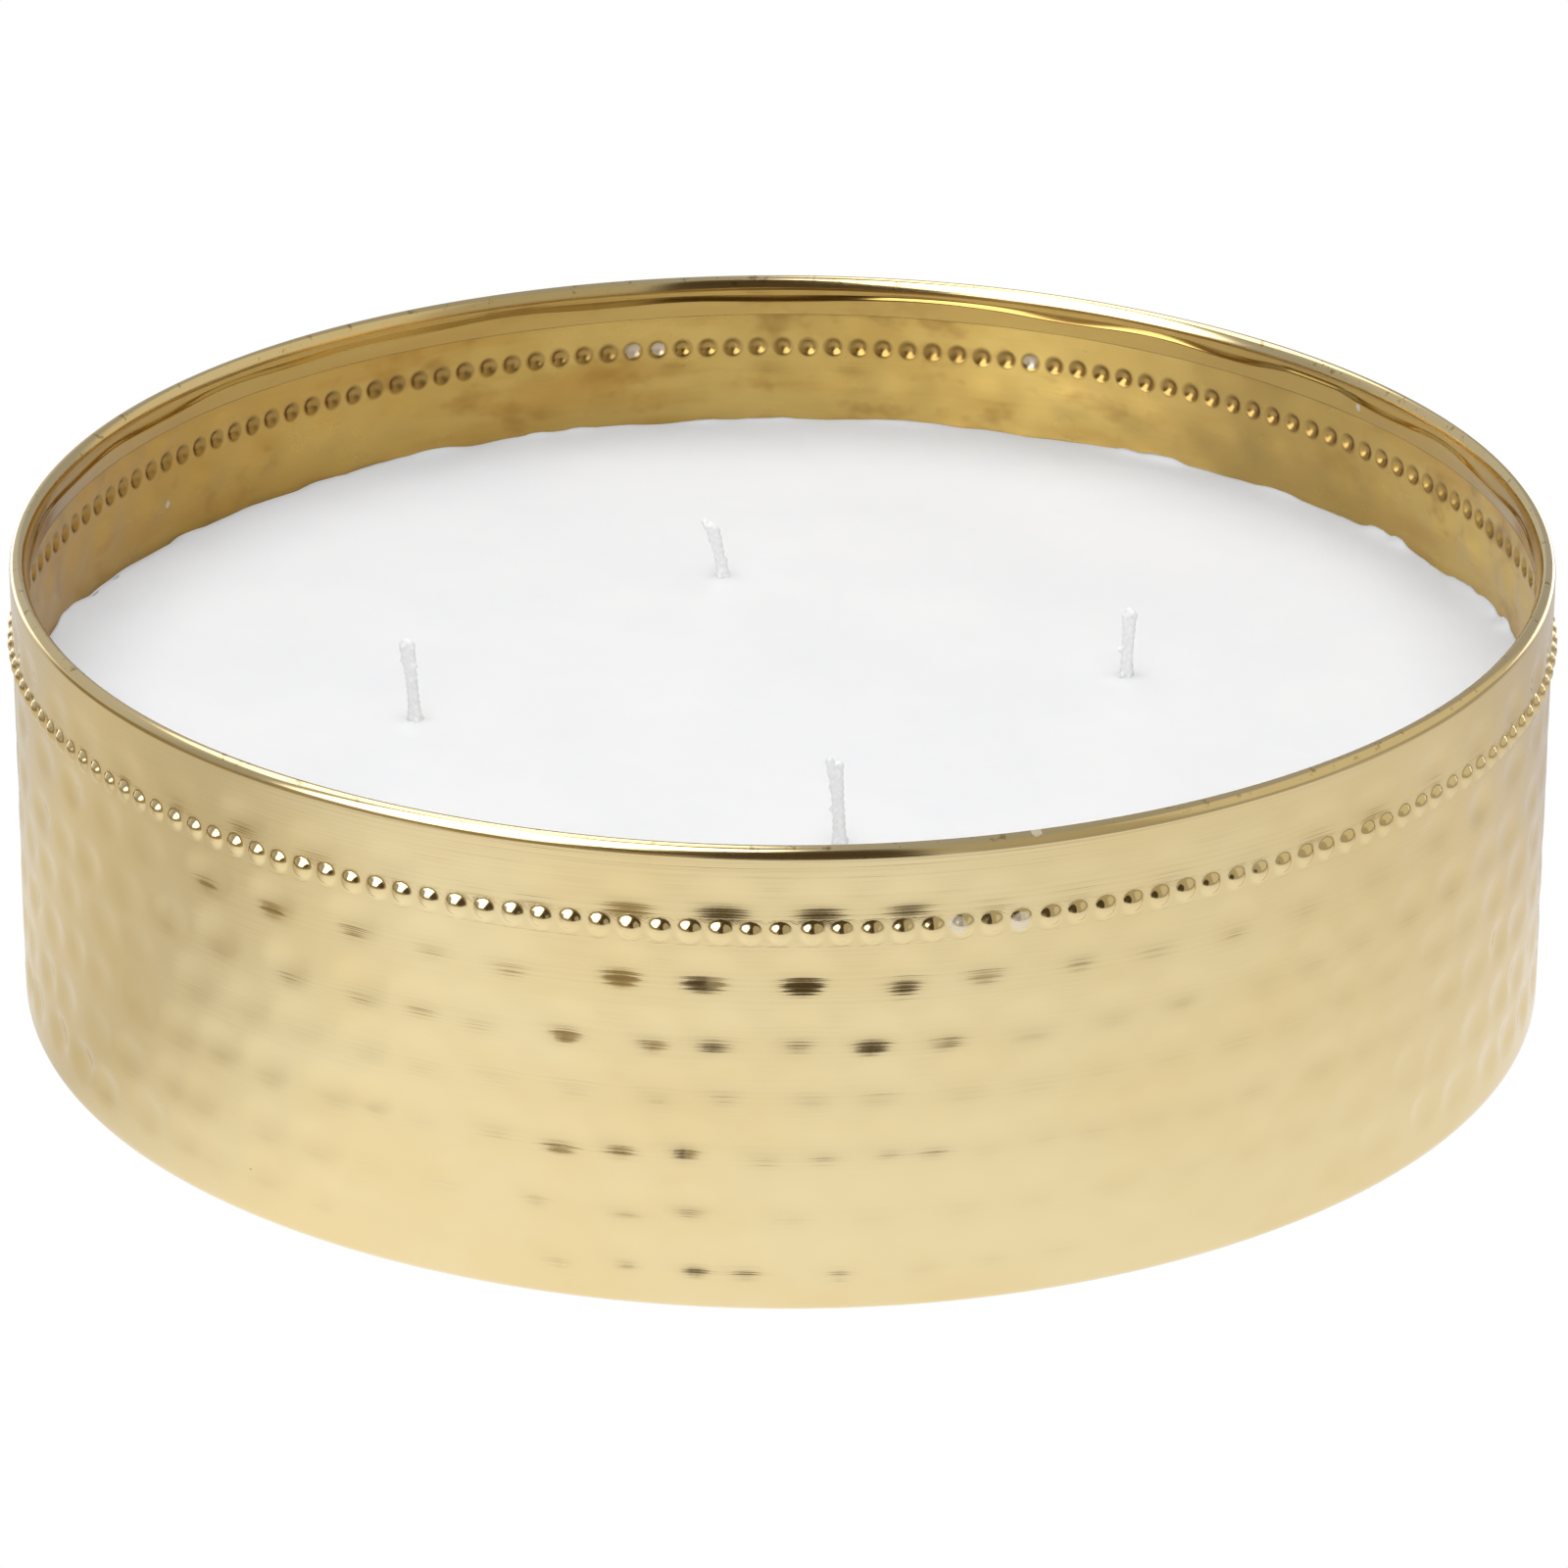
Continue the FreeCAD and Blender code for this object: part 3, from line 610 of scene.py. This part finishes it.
def make_wick(name):
    """A flat braided cotton wick dipped in wax: three plaited strands and a core, fused and softened."""
    rng = random.Random("wick " + name)
    tall = WICKS[name][2]
    length = WAX_LEVEL + tall - WICK_FOOT
    steps = int(length / 0.3)
    plait = 3.4
    verts, faces = [], []
    strands = [(0.70, 0.28, 2 * math.pi * k / 3, 0.60) for k in range(3)] + [(0.0, 0.0, 0.0, 0.55)]
    for sway, lift, start, thick in strands:
        points, radii = [], []
        stop = steps + rng.randint(-2, 1)
        for k in range(stop + 1):
            share = k / steps
            along = share * length
            turn = 2 * math.pi * along / plait + start
            fray = max(0.0, (share - 0.97) / 0.03)
            middle = wick_line(name, share)
            over = min(max((middle.z - WAX_LEVEL) / tall, 0), 1)
            pinch = math.sin(math.pi * over**0.8)
            east = sway * (1 - 0.22 * pinch) * (1 + 0.35 * fray) * math.sin(turn)
            offset = Vector((east, lift * math.sin(2 * turn), 0))
            points.append((middle + offset) * MM)
            wobble = 1 + 0.08 * math.sin(along * 2.1 + start) + 0.05 * rng.uniform(-1, 1)
            waist = 1 - 0.26 * pinch + 0.05 * over
            radii.append(thick * wobble * waist * MM)
        add_tube(verts, faces, points, radii)
    for _ in range(CRUMBS):
        higher = rng.random() < CRUMBS_HIGHER
        share = 1 - (rng.uniform(0.0, 1.0) if higher else 0.97) * tall / length
        turn = rng.uniform(0, 2 * math.pi)
        away = rng.uniform(0.6, 1.3)
        beside = Vector((away * math.cos(turn), 0.6 * away * math.sin(turn), rng.uniform(0, 0.5)))
        place = wick_line(name, share) + beside
        size = rng.uniform(0.35, 0.60)
        points = [(place + Vector((0, 0, size * rise))) * MM for rise in (-0.8, 0, 0.8)]
        add_tube(verts, faces, points, [size * 0.5 * MM, size * MM, size * 0.45 * MM])
    mesh = bpy.data.meshes.new("wick_" + name + "_strands")
    mesh.from_pydata(verts, [], faces)
    made = bpy.data.objects.new("braided_wick_" + name, mesh)
    bpy.context.scene.collection.objects.link(made)
    remesh = made.modifiers.new("fuse", "REMESH")
    remesh.mode = "VOXEL"
    remesh.voxel_size = 0.17 * MM
    soften = made.modifiers.new("soften", "SMOOTH")
    soften.iterations = 3
    soften.factor = 0.5
    graph = bpy.context.evaluated_depsgraph_get()
    final = bpy.data.meshes.new_from_object(made.evaluated_get(graph))
    made.modifiers.clear()
    made.data = final
    final.shade_smooth()
    return made


def new_material(name, kind="ShaderNodeBsdfPrincipled"):
    """A node material with one shader. Returns the material, its node tree and the shader."""
    material = bpy.data.materials.new(name)
    material.use_nodes = True
    tree = material.node_tree
    tree.nodes.clear()
    output = tree.nodes.new("ShaderNodeOutputMaterial")
    shader = tree.nodes.new(kind)
    tree.links.new(shader.outputs[0], output.inputs["Surface"])
    return material, tree, shader


def noise(tree, vector, scale, detail=2.0, rough=0.5):
    """A noise texture on this vector."""
    made = tree.nodes.new("ShaderNodeTexNoise")
    made.inputs["Scale"].default_value = scale
    made.inputs["Detail"].default_value = detail
    made.inputs["Roughness"].default_value = rough
    tree.links.new(vector, made.inputs["Vector"])
    return made.outputs["Fac"]


def ramp(tree, value, stops):
    """A colour ramp on this value, from (place, colour) stops. A colour may be one grey number."""
    made = tree.nodes.new("ShaderNodeValToRGB")
    elements = made.color_ramp.elements
    while len(elements) < len(stops):
        elements.new(0.5)
    for element, (place, colour) in zip(elements, stops):
        element.position = place
        full = (colour,) * 3 if isinstance(colour, (int, float)) else colour
        element.color = (*full, 1)
    tree.links.new(value, made.inputs["Fac"])
    return made.outputs["Color"]


def put(tree, socket, value):
    """Gives an input socket its value: another socket, a number or a colour."""
    if isinstance(value, bpy.types.NodeSocket):
        tree.links.new(value, socket)
    elif isinstance(value, (int, float)):
        socket.default_value = value
    else:
        socket.default_value = (*value, 1)


def mix(tree, factor, first, second, mode="MIX"):
    """One colour mixed with another. Each is a socket or a colour, and the factor a socket or a number."""
    made = tree.nodes.new("ShaderNodeMix")
    made.data_type = "RGBA"
    made.blend_type = mode
    for number, value in ((0, factor), (6, first), (7, second)):
        put(tree, made.inputs[number], value)
    return made.outputs[2]


def maths(tree, operation, first, second=None):
    """One sum on sockets or numbers."""
    made = tree.nodes.new("ShaderNodeMath")
    made.operation = operation
    put(tree, made.inputs[0], first)
    if second is not None:
        put(tree, made.inputs[1], second)
    return made.outputs[0]


def split(tree, vector):
    """The three parts of a vector, by name."""
    parts = tree.nodes.new("ShaderNodeSeparateXYZ")
    tree.links.new(vector, parts.inputs[0])
    return parts.outputs


def reach_of(tree, first, second):
    """The length of a way whose two parts at right angles are these."""
    squares = [maths(tree, "POWER", way, 2.0) for way in (first, second)]
    return maths(tree, "SQRT", maths(tree, "ADD", *squares))


def layered(tree, base, layers):
    """A colour with others over it. Each layer is its masks, which are multiplied, and its colour."""
    colour = base
    for masks, layer_colour in layers:
        mask = masks[0]
        for other in masks[1:]:
            mask = maths(tree, "MULTIPLY", mask, other)
        colour = mix(tree, mask, colour, layer_colour)
    return colour


def scaled(tree, vector, scale):
    """A vector stretched by three numbers."""
    made = tree.nodes.new("ShaderNodeMapping")
    made.inputs["Scale"].default_value = scale
    tree.links.new(vector, made.inputs["Vector"])
    return made.outputs["Vector"]


def bump(tree, height, strength, distance):
    """A bump from this height."""
    made = tree.nodes.new("ShaderNodeBump")
    made.inputs["Strength"].default_value = strength
    made.inputs["Distance"].default_value = distance
    tree.links.new(height, made.inputs["Height"])
    return made.outputs["Normal"]


def object_place(tree):
    """The place on the object, in metres."""
    return tree.nodes.new("ShaderNodeTexCoord").outputs["Object"]


def specks(tree, place, scale, size, share):
    """One in small round specks scattered over the surface. The share is of cells left clean."""
    cells = tree.nodes.new("ShaderNodeTexVoronoi")
    cells.inputs["Scale"].default_value = scale
    tree.links.new(place, cells.inputs["Vector"])
    spot = ramp(tree, cells.outputs["Distance"], ((size * 0.6, 1.0), (size, 0.0)))
    chance = tree.nodes.new("ShaderNodeSeparateColor")
    tree.links.new(cells.outputs["Color"], chance.inputs[0])
    kept = maths(tree, "GREATER_THAN", chance.outputs[0], share)
    return maths(tree, "MULTIPLY", spot, kept)


def in_beads(tree, place):
    """One in the middle of each bead or dimple of the ring, and nothing elsewhere."""
    parts = split(tree, place)
    turn = maths(tree, "ARCTAN2", parts["Y"], parts["X"])
    count = maths(tree, "MULTIPLY", turn, BEADS / (2 * math.pi))
    share = maths(tree, "SUBTRACT", maths(tree, "FRACT", count), 0.5)
    across = maths(tree, "MULTIPLY", share, PITCH)
    up = maths(tree, "SUBTRACT", maths(tree, "MULTIPLY", parts["Z"], 1 / MM), BEAD_LEVEL)
    return window(tree, reach_of(tree, across, up), -9.0, 1.7, 0.5)


# Old wax on the brass: degrees from the front, then height, distance from the axis and size in millimetres.
WAX_MARKS = (
    (12.0, 58.6, 115.6, 1.5),
    (16.4, 58.0, 115.6, 1.6),
    (17.7, 70.3, 113.9, 0.9),
    (192.4, 58.1, 115.0, 1.5),
    (190.3, 58.1, 115.0, 1.3),
    (159.3, 58.1, 115.0, 1.5),
    (126.0, 66.2, 112.6, 0.9),
    (238.0, 51.0, 114.4, 0.7),
)


def wax_marks(tree, place):
    """How thickly old wax lies on the brass, from nothing to one: a few small ragged marks."""
    ragged = noise(tree, place, 1100.0, 3.0, 0.6)
    total = None
    for degrees, height, radius, size in WAX_MARKS:
        angle = front_angle(degrees)
        centre = Vector((radius * math.cos(angle), radius * math.sin(angle), height)) * MM
        away = tree.nodes.new("ShaderNodeVectorMath")
        away.operation = "DISTANCE"
        away.inputs[1].default_value = centre
        tree.links.new(place, away.inputs[0])
        near = maths(tree, "DIVIDE", away.outputs["Value"], size * MM)
        mark = window(tree, maths(tree, "ADD", near, ragged), -9.0, 1.35, 0.25)
        total = mark if total is None else maths(tree, "MAXIMUM", total, mark)
    return maths(tree, "MULTIPLY", total, 0.45)


def brass_material(runs):
    """Bright spun brass: fine lines round the tin, dark specks, and a browner tone inside.

    Painted shade: the tone inside gets browner still to the west and in a band to the east, by place on the
    object.
    """
    material, tree, shader = new_material("spun_brass")
    place = object_place(tree)
    attribute = tree.nodes.new("ShaderNodeAttribute")
    attribute.attribute_name = "sheet_run"
    run = attribute.outputs["Fac"]
    end_of_run = 9999.0
    parts = split(tree, place)
    line_place = tree.nodes.new("ShaderNodeCombineXYZ")
    for axis in ("X", "Y"):
        tree.links.new(maths(tree, "MULTIPLY", parts[axis], 9.0), line_place.inputs[axis])
    tree.links.new(run, line_place.inputs["Z"])
    lines = noise(tree, line_place.outputs[0], 2.2, 2.0, 0.5)
    cloudy = noise(tree, scaled(tree, place, (26, 26, 40)), 1.0, 4.0, 0.6)
    stains = noise(tree, scaled(tree, place, (75, 75, 110)), 1.0, 3.0, 0.65)
    bands = noise(tree, scaled(tree, place, (22, 22, 130)), 1.0, 3.0, 0.6)
    stained = ramp(tree, stains, ((0.56, 0.0), (0.72, 0.62)))
    # Painted shade: the inside tone is made browner to the west, by place on the object.
    painted_shade_west = ramp(tree, maths(tree, "ADD", parts["X"], 0.115), ((0.0, 0.7), (0.12, 0.0)))
    banded = ramp(tree, bands, ((0.50, 0.0), (0.66, 0.45)))
    # Painted shade: a band to the east where the inside tone is made browner, by place on the object.
    painted_shade_east_stops = ((0.0, 0.0), (0.035, 0.95), (0.05, 0.6), (0.065, 0.0))
    painted_shade_east = ramp(tree, maths(tree, "ADD", parts["X"], -0.04), painted_shade_east_stops)
    flecks = ramp(tree, noise(tree, place, 520.0, 3.0, 0.7), ((0.60, 0.0), (0.68, 0.7)))

    # Which stretch of the sheet a place is on, by its run along it.
    top = window(tree, run, runs["roll"] - 1.2, runs["roll"] + 1.6, 1.0)
    hem = window(tree, run, runs["roll"] + 2.0, runs["edge"], 0.8)
    # Painted shadow: a dark band on the wall in the gap behind the hem, down to the hem's raw edge.
    painted_shadow_under_hem = window(tree, run, runs["under"] + 2.5, runs["under"] + 4.2, 0.8)
    tinted = window(tree, run, runs["roll"] + 2.2, end_of_run, 0.9)
    inside = window(tree, run, runs["edge"], end_of_run, 0.5)

    bright = ramp(tree, cloudy, ((0.30, (0.735, 0.580, 0.300)), (0.62, (0.765, 0.632, 0.362))))
    bright = layered(tree, bright, (
        ((specks(tree, place, 95.0, 0.030, 0.40),), (0.16, 0.11, 0.05)),
        ((flecks, top), (0.34, 0.22, 0.09)),
    ))
    dull = ramp(tree, cloudy, ((0.30, (0.54, 0.355, 0.098)), (0.65, (0.67, 0.485, 0.155))))
    dull = layered(tree, dull, (
        ((stained,), (0.30, 0.165, 0.045)),
        # Painted shade, browner to the west and in a band to the east.
        ((painted_shade_west,), (0.39, 0.215, 0.046)),
        ((banded,), (0.46, 0.245, 0.050)),
        ((painted_shade_east,), (0.40, 0.27, 0.085)),
        ((specks(tree, place, 70.0, 0.055, 0.90),), (0.22, 0.050, 0.018)),
        ((hem, 0.55), (0.40, 0.265, 0.085)),
        # Painted shadow behind and under the hem's raw edge.
        ((painted_shadow_under_hem, 0.8), (0.17, 0.09, 0.028)),
        ((in_beads(tree, place), 0.6), (0.27, 0.165, 0.055)),
    ))
    residue = wax_marks(tree, place)
    brass = mix(tree, tinted, bright, dull)
    tree.links.new(mix(tree, residue, brass, (0.74, 0.71, 0.65)), shader.inputs["Base Color"])
    tree.links.new(maths(tree, "SUBTRACT", 1.0, residue), shader.inputs["Metallic"])
    rough = ramp(tree, lines, ((0.25, 0.11), (0.75, 0.17)))
    inner_rough = ramp(tree, stains, ((0.35, 0.27), (0.65, 0.38)))
    tree.links.new(mix(tree, inside, rough, inner_rough), shader.inputs["Roughness"])
    tree.links.new(bump(tree, lines, 0.50, 0.00005), shader.inputs["Normal"])
    along = tree.nodes.new("ShaderNodeTangent")
    along.direction_type = "RADIAL"
    along.axis = "Z"
    tree.links.new(along.outputs["Tangent"], shader.inputs["Tangent"])
    shader.inputs["Anisotropic"].default_value = 0.45
    shader.inputs["Anisotropic Rotation"].default_value = 0.25
    return material


def dress(tree, shader, texture, stops, roughness, strength, distance):
    """The tone and the bump of a shader from one texture, and its roughness, a socket or a number."""
    tree.links.new(ramp(tree, texture, stops), shader.inputs["Base Color"])
    put(tree, shader.inputs["Roughness"], roughness)
    tree.links.new(bump(tree, texture, strength, distance), shader.inputs["Normal"])


def wax_material():
    """Smooth white container wax, slightly see-through at its thin edges."""
    material, tree, shader = new_material("white_wax")
    place = object_place(tree)
    cloudy = noise(tree, place, 38.0, 4.0, 0.55)
    tone = ramp(tree, cloudy, ((0.3, (0.86, 0.865, 0.875)), (0.7, grey(0.90))))
    tree.links.new(tone, shader.inputs["Base Color"])
    shader.inputs["Roughness"].default_value = 0.5
    shader.inputs["Subsurface Weight"].default_value = 0.25
    shader.inputs["Subsurface Radius"].default_value = (1.0, 0.9, 0.8)
    shader.inputs["Subsurface Scale"].default_value = 0.002
    grain = noise(tree, place, 700.0, 3.0, 0.6)
    tree.links.new(bump(tree, grain, 0.12, 0.0001), shader.inputs["Normal"])
    return material


def wick_material():
    """Cotton soaked in wax: off-white, with fine fibres along it."""
    material, tree, shader = new_material("waxed_cotton")
    fibres = noise(tree, scaled(tree, object_place(tree), (1, 1, 0.35)), 3200.0, 3.0, 0.6)
    dress(tree, shader, fibres, ((0.3, grey(0.91)), (0.7, grey(0.96))), 0.55, 0.15, 0.00006)
    return material


def steel_material():
    """Tinned steel of the wick sustainers, with fine drawing marks."""
    material, tree, shader = new_material("tinned_steel")
    marks = noise(tree, scaled(tree, object_place(tree), (1, 12, 1)), 420.0, 3.0, 0.6)
    stops = ((0.3, (0.56, 0.57, 0.58)), (0.7, (0.70, 0.71, 0.72)))
    dress(tree, shader, marks, stops, ramp(tree, marks, ((0.2, 0.26), (0.8, 0.4))), 0.2, 0.00004)
    shader.inputs["Metallic"].default_value = 1.0
    return material


def foam_material():
    """White foam tape of the wick stickers, full of small cells."""
    material, tree, shader = new_material("foam_tape")
    cells = tree.nodes.new("ShaderNodeTexVoronoi")
    cells.inputs["Scale"].default_value = 2400.0
    tree.links.new(object_place(tree), cells.inputs["Vector"])
    stops = ((0.1, (0.70, 0.70, 0.68)), (0.6, (0.82, 0.82, 0.80)))
    dress(tree, shader, cells.outputs["Distance"], stops, 0.85, 0.5, 0.0001)
    return material


def paper_material():
    """The plain uncoated paper of the base label, with faint fibres."""
    material, tree, shader = new_material("label_stock")
    fibres = noise(tree, scaled(tree, object_place(tree), (1, 3, 1)), 600.0, 6.0, 0.7)
    stops = ((0.3, (0.80, 0.79, 0.76)), (0.7, (0.87, 0.865, 0.84)))
    dress(tree, shader, fibres, stops, 0.8, 0.2, 0.00005)
    return material


def stage_mesh(name, points, faces):
    """A white part of the studio, which gives light and casts no shadow."""
    mesh = bpy.data.meshes.new(name)
    mesh.from_pydata(points, [], faces)
    made = bpy.data.objects.new(name, mesh)
    material, _, light = new_material(name + "_light", "ShaderNodeEmission")
    light.inputs["Color"].default_value = (1, 1, 1, 1)
    light.inputs["Strength"].default_value = 1.0
    made.data.materials.append(material)
    bpy.context.scene.collection.objects.link(made)
    made.visible_shadow = False
    return made


def wall_around(distance, low, high):
    """The points and faces of an upright wall all the way round the tin."""
    steps = 48
    angles = [front_angle(-180 + 360 * k / steps) for k in range(steps + 1)]
    base = [(distance * math.cos(a), distance * math.sin(a), low) for a in angles]
    tops = [(x, y, high) for x, y, _ in base]
    faces = [(k, k + 1, steps + 2 + k, steps + 1 + k) for k in range(steps)]
    return base + tops, faces


def window(tree, value, low, high, soft):
    """One where the value is between two limits and nothing elsewhere, with soft edges this wide."""
    sides = []
    for edge, direction in ((low, 1), (high, -1)):
        made = tree.nodes.new("ShaderNodeMapRange")
        made.interpolation_type = "SMOOTHSTEP"
        made.inputs["From Min"].default_value = edge - direction * soft / 2
        made.inputs["From Max"].default_value = edge + direction * soft / 2
        tree.links.new(value, made.inputs["Value"])
        sides.append(made.outputs["Result"])
    return maths(tree, "MULTIPLY", *sides)


def bearing(tree, vector):
    """The angle round from the front of a place or a direction, in radians, and its three parts."""
    parts = split(tree, vector)
    forward = maths(tree, "MULTIPLY", parts["Y"], -1.0)
    return maths(tree, "ARCTAN2", parts["X"], forward), parts


def grey(level):
    """A neutral colour."""
    return (level, level, level)


WARM_DARK = (0.075, 0.052, 0.026)


def make_room():
    """The room that the brass mirrors: a bright panel on the left and one high at the back, a dark gap behind
    the camera, and a warm right side. It lights no diffuse surface."""
    world = bpy.data.worlds.new("room")
    world.use_nodes = True
    tree = world.node_tree
    direction = tree.nodes.new("ShaderNodeTexCoord").outputs["Generated"]
    turn, parts = bearing(tree, direction)
    rise = maths(tree, "ARCSINE", parts["Z"])
    rad = math.radians

    def area(first, last, low, high, colour, soft=6, slant=0.0):
        """An area, by its bearings and elevations in degrees. A slant moves its last edge with height."""
        upright = maths(tree, "SUBTRACT", turn, maths(tree, "MULTIPLY", rise, slant))
        after_first = window(tree, turn, rad(first), 9.0, rad(soft))
        before_last = window(tree, upright, -9.0, rad(last), rad(soft))
        up_window = window(tree, rise, rad(low), rad(high), rad(6))
        return (after_first, before_last, up_window), colour

    areas = [
        area(-175, -100, -30, 75, grey(0.6), 20),
        area(20, 62, -30, 48, (0.50, 0.45, 0.34), 12),
        area(58, 130, -30, 48, (0.74, 0.68, 0.54), 12),
        area(-50, 20, -30, 56, WARM_DARK),
        area(-178, -90, 42, 84, grey(2.4), 8),
        area(-72, -36, 5, 66, grey(3.8), 9, 0.62),
    ]
    background = tree.nodes["Background"]
    tree.links.new(layered(tree, grey(0.43), areas), background.inputs["Color"])
    world.cycles_visibility.diffuse = False
    bpy.context.scene.world = world


def add_lamp(name, place, size, power):
    """A big soft lamp aimed at the tin. It lights the wax, and the brass mirrors the room instead."""
    lamp = bpy.data.lights.new(name, "AREA")
    lamp.shape = "SQUARE"
    lamp.size = size
    lamp.energy = power
    made = bpy.data.objects.new(name, lamp)
    made.location = place
    made.rotation_euler = (Vector((0, 0, 0.05)) - made.location).to_track_quat("-Z", "Y").to_euler()
    made.visible_glossy = False
    bpy.context.scene.collection.objects.link(made)


# How bright the mirrored table top is near the tin, by degrees round from the front.
FLOOR_LEVELS = (
    (-180, 0.62), (-116, (0.70, 0.66, 0.61)), (-97, (0.79, 0.745, 0.66)), (-70, (0.70, 0.67, 0.62)),
    (-52, 0.94), (-40, 1.07), (-22, 1.06), (0, 1.02), (45, 0.96), (90, (0.83, 0.79, 0.75)),
    (117, (0.63, 0.59, 0.57)), (180, 0.62),
)


def ground_glow(tree):
    """The table top that the tin mirrors, lit by bearing near the tin and by area past its edge."""
    light = next(n for n in tree.nodes if n.type == "EMISSION")
    turn, parts = bearing(tree, object_place(tree))
    away = reach_of(tree, parts["X"], parts["Y"])
    rad = math.radians
    edge = 0.325
    beyond = window(tree, away, edge, 50.0, 0.03)
    left = window(tree, turn, rad(-115), rad(-12), rad(6))
    front = window(tree, turn, rad(-12), rad(20), rad(6))
    right = window(tree, turn, rad(20), rad(120), rad(10))
    near = ramp(tree, away, ((0.12, 1.08), (0.26, 0.96)))
    turned = maths(tree, "ABSOLUTE", turn)
    behind = window(tree, turned, rad(124), rad(160), rad(14))
    stops = [(degrees / 360 + 0.5, level) for degrees, level in FLOOR_LEVELS]
    whole_turn = maths(tree, "ADD", maths(tree, "DIVIDE", turn, 2 * math.pi), 0.5)
    fall = ramp(tree, whole_turn, stops)
    near = mix(tree, 1.0, near, fall, "MULTIPLY")
    areas = [
        ((beyond, left), (0.32, 0.25, 0.14)),
        ((beyond, behind), grey(1.9)),
        ((beyond, front), WARM_DARK),
        ((beyond, right), (0.45, 0.42, 0.36)),
    ]
    tree.links.new(layered(tree, near, areas), light.inputs["Color"])


def clear_from_below(tree):
    """The floor gives its light upwards only, and a view from underneath looks through it."""
    light = next(n for n in tree.nodes if n.type == "EMISSION")
    output = next(n for n in tree.nodes if n.type == "OUTPUT_MATERIAL")
    side = tree.nodes.new("ShaderNodeNewGeometry").outputs["Backfacing"]
    clear = tree.nodes.new("ShaderNodeBsdfTransparent")
    choice = tree.nodes.new("ShaderNodeMixShader")
    tree.links.new(side, choice.inputs[0])
    tree.links.new(light.outputs[0], choice.inputs[1])
    tree.links.new(clear.outputs[0], choice.inputs[2])
    tree.links.new(choice.outputs[0], output.inputs["Surface"])


def make_studio():
    """The pale floor, the floor that the brass mirrors instead, a backdrop, the room and two lamps."""
    reach = 12.0
    corners = ((-reach, -reach), (reach, -reach), (reach, reach), (-reach, reach))
    floor = stage_mesh("floor", [(x, y, 0.0) for x, y in corners], [(0, 1, 2, 3)])
    floor.visible_glossy = False
    clear_from_below(floor.data.materials[0].node_tree)
    mirrored = stage_mesh("mirrored_floor", [(x, y, -0.001) for x, y in corners], [(0, 1, 2, 3)])
    mirrored.visible_camera = False
    mirrored.visible_diffuse = False
    ground_glow(mirrored.data.materials[0].node_tree)
    backdrop = stage_mesh("backdrop", *wall_around(11.0, 0.0, 6.0))
    backdrop.visible_glossy = False
    backdrop.visible_diffuse = False
    make_room()
    add_lamp("overhead", (0.0, 0.0, 1.6), 2.4, 37.8)
    add_lamp("fill", (0.0, -1.3, 0.75), 1.4, 7.5)


def make_camera():
    """The camera: 1.1 metres off, looking 24 degrees down at the tin, with a slight roll."""
    place = Vector((0, -1.0182, 0.4765))
    look = Vector((0.0004, 0, 0.0298))
    roll = math.radians(0.2158)
    ahead = (look - place).normalized()
    right = ahead.cross(Vector((0, 0, 1))).normalized()
    up = right.cross(ahead)
    turned = right * math.cos(roll) + up * math.sin(roll)
    data = bpy.data.cameras.new("camera")
    data.lens = 168.52
    data.sensor_width = 36
    camera = bpy.data.objects.new("camera", data)
    rotation = Matrix((turned, (-right * math.sin(roll) + up * math.cos(roll)), -ahead))
    camera.matrix_world = rotation.transposed().to_4x4()
    camera.location = place
    bpy.context.scene.collection.objects.link(camera)
    bpy.context.scene.camera = camera


def finish_piece(piece, material, slot, *nodes):
    """A new piece gets its material, rides on the one body, and stands for CAD nodes. Its slot is not used.
    """
    piece.data.materials.clear()
    piece.data.materials.append(material)
    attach(piece, "root")
    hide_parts(*nodes)


def paint_nodes(material, prefix):
    """The CAD nodes that stay, by the start of their name, get a material."""
    for name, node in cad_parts.items():
        if name.startswith(prefix):
            node.data.materials.clear()
            node.data.materials.append(material)


TIN, RUNS = make_tin()
finish_piece(TIN, brass_material(RUNS), "tin_metal", "tin_body")
TIN.visible_diffuse = False
finish_piece(make_wax(), wax_material(), "wax", "wax_fill")
waxed = wick_material()
for which in WICKS:
    finish_piece(make_wick(which), waxed, "wick_braid", "wick_" + which)
paint_nodes(steel_material(), "wick_sustainer_")
paint_nodes(foam_material(), "wick_sticker_")
paint_nodes(paper_material(), "base_label")
make_studio()
make_camera()
bpy.context.scene.view_settings.view_transform = "Standard"
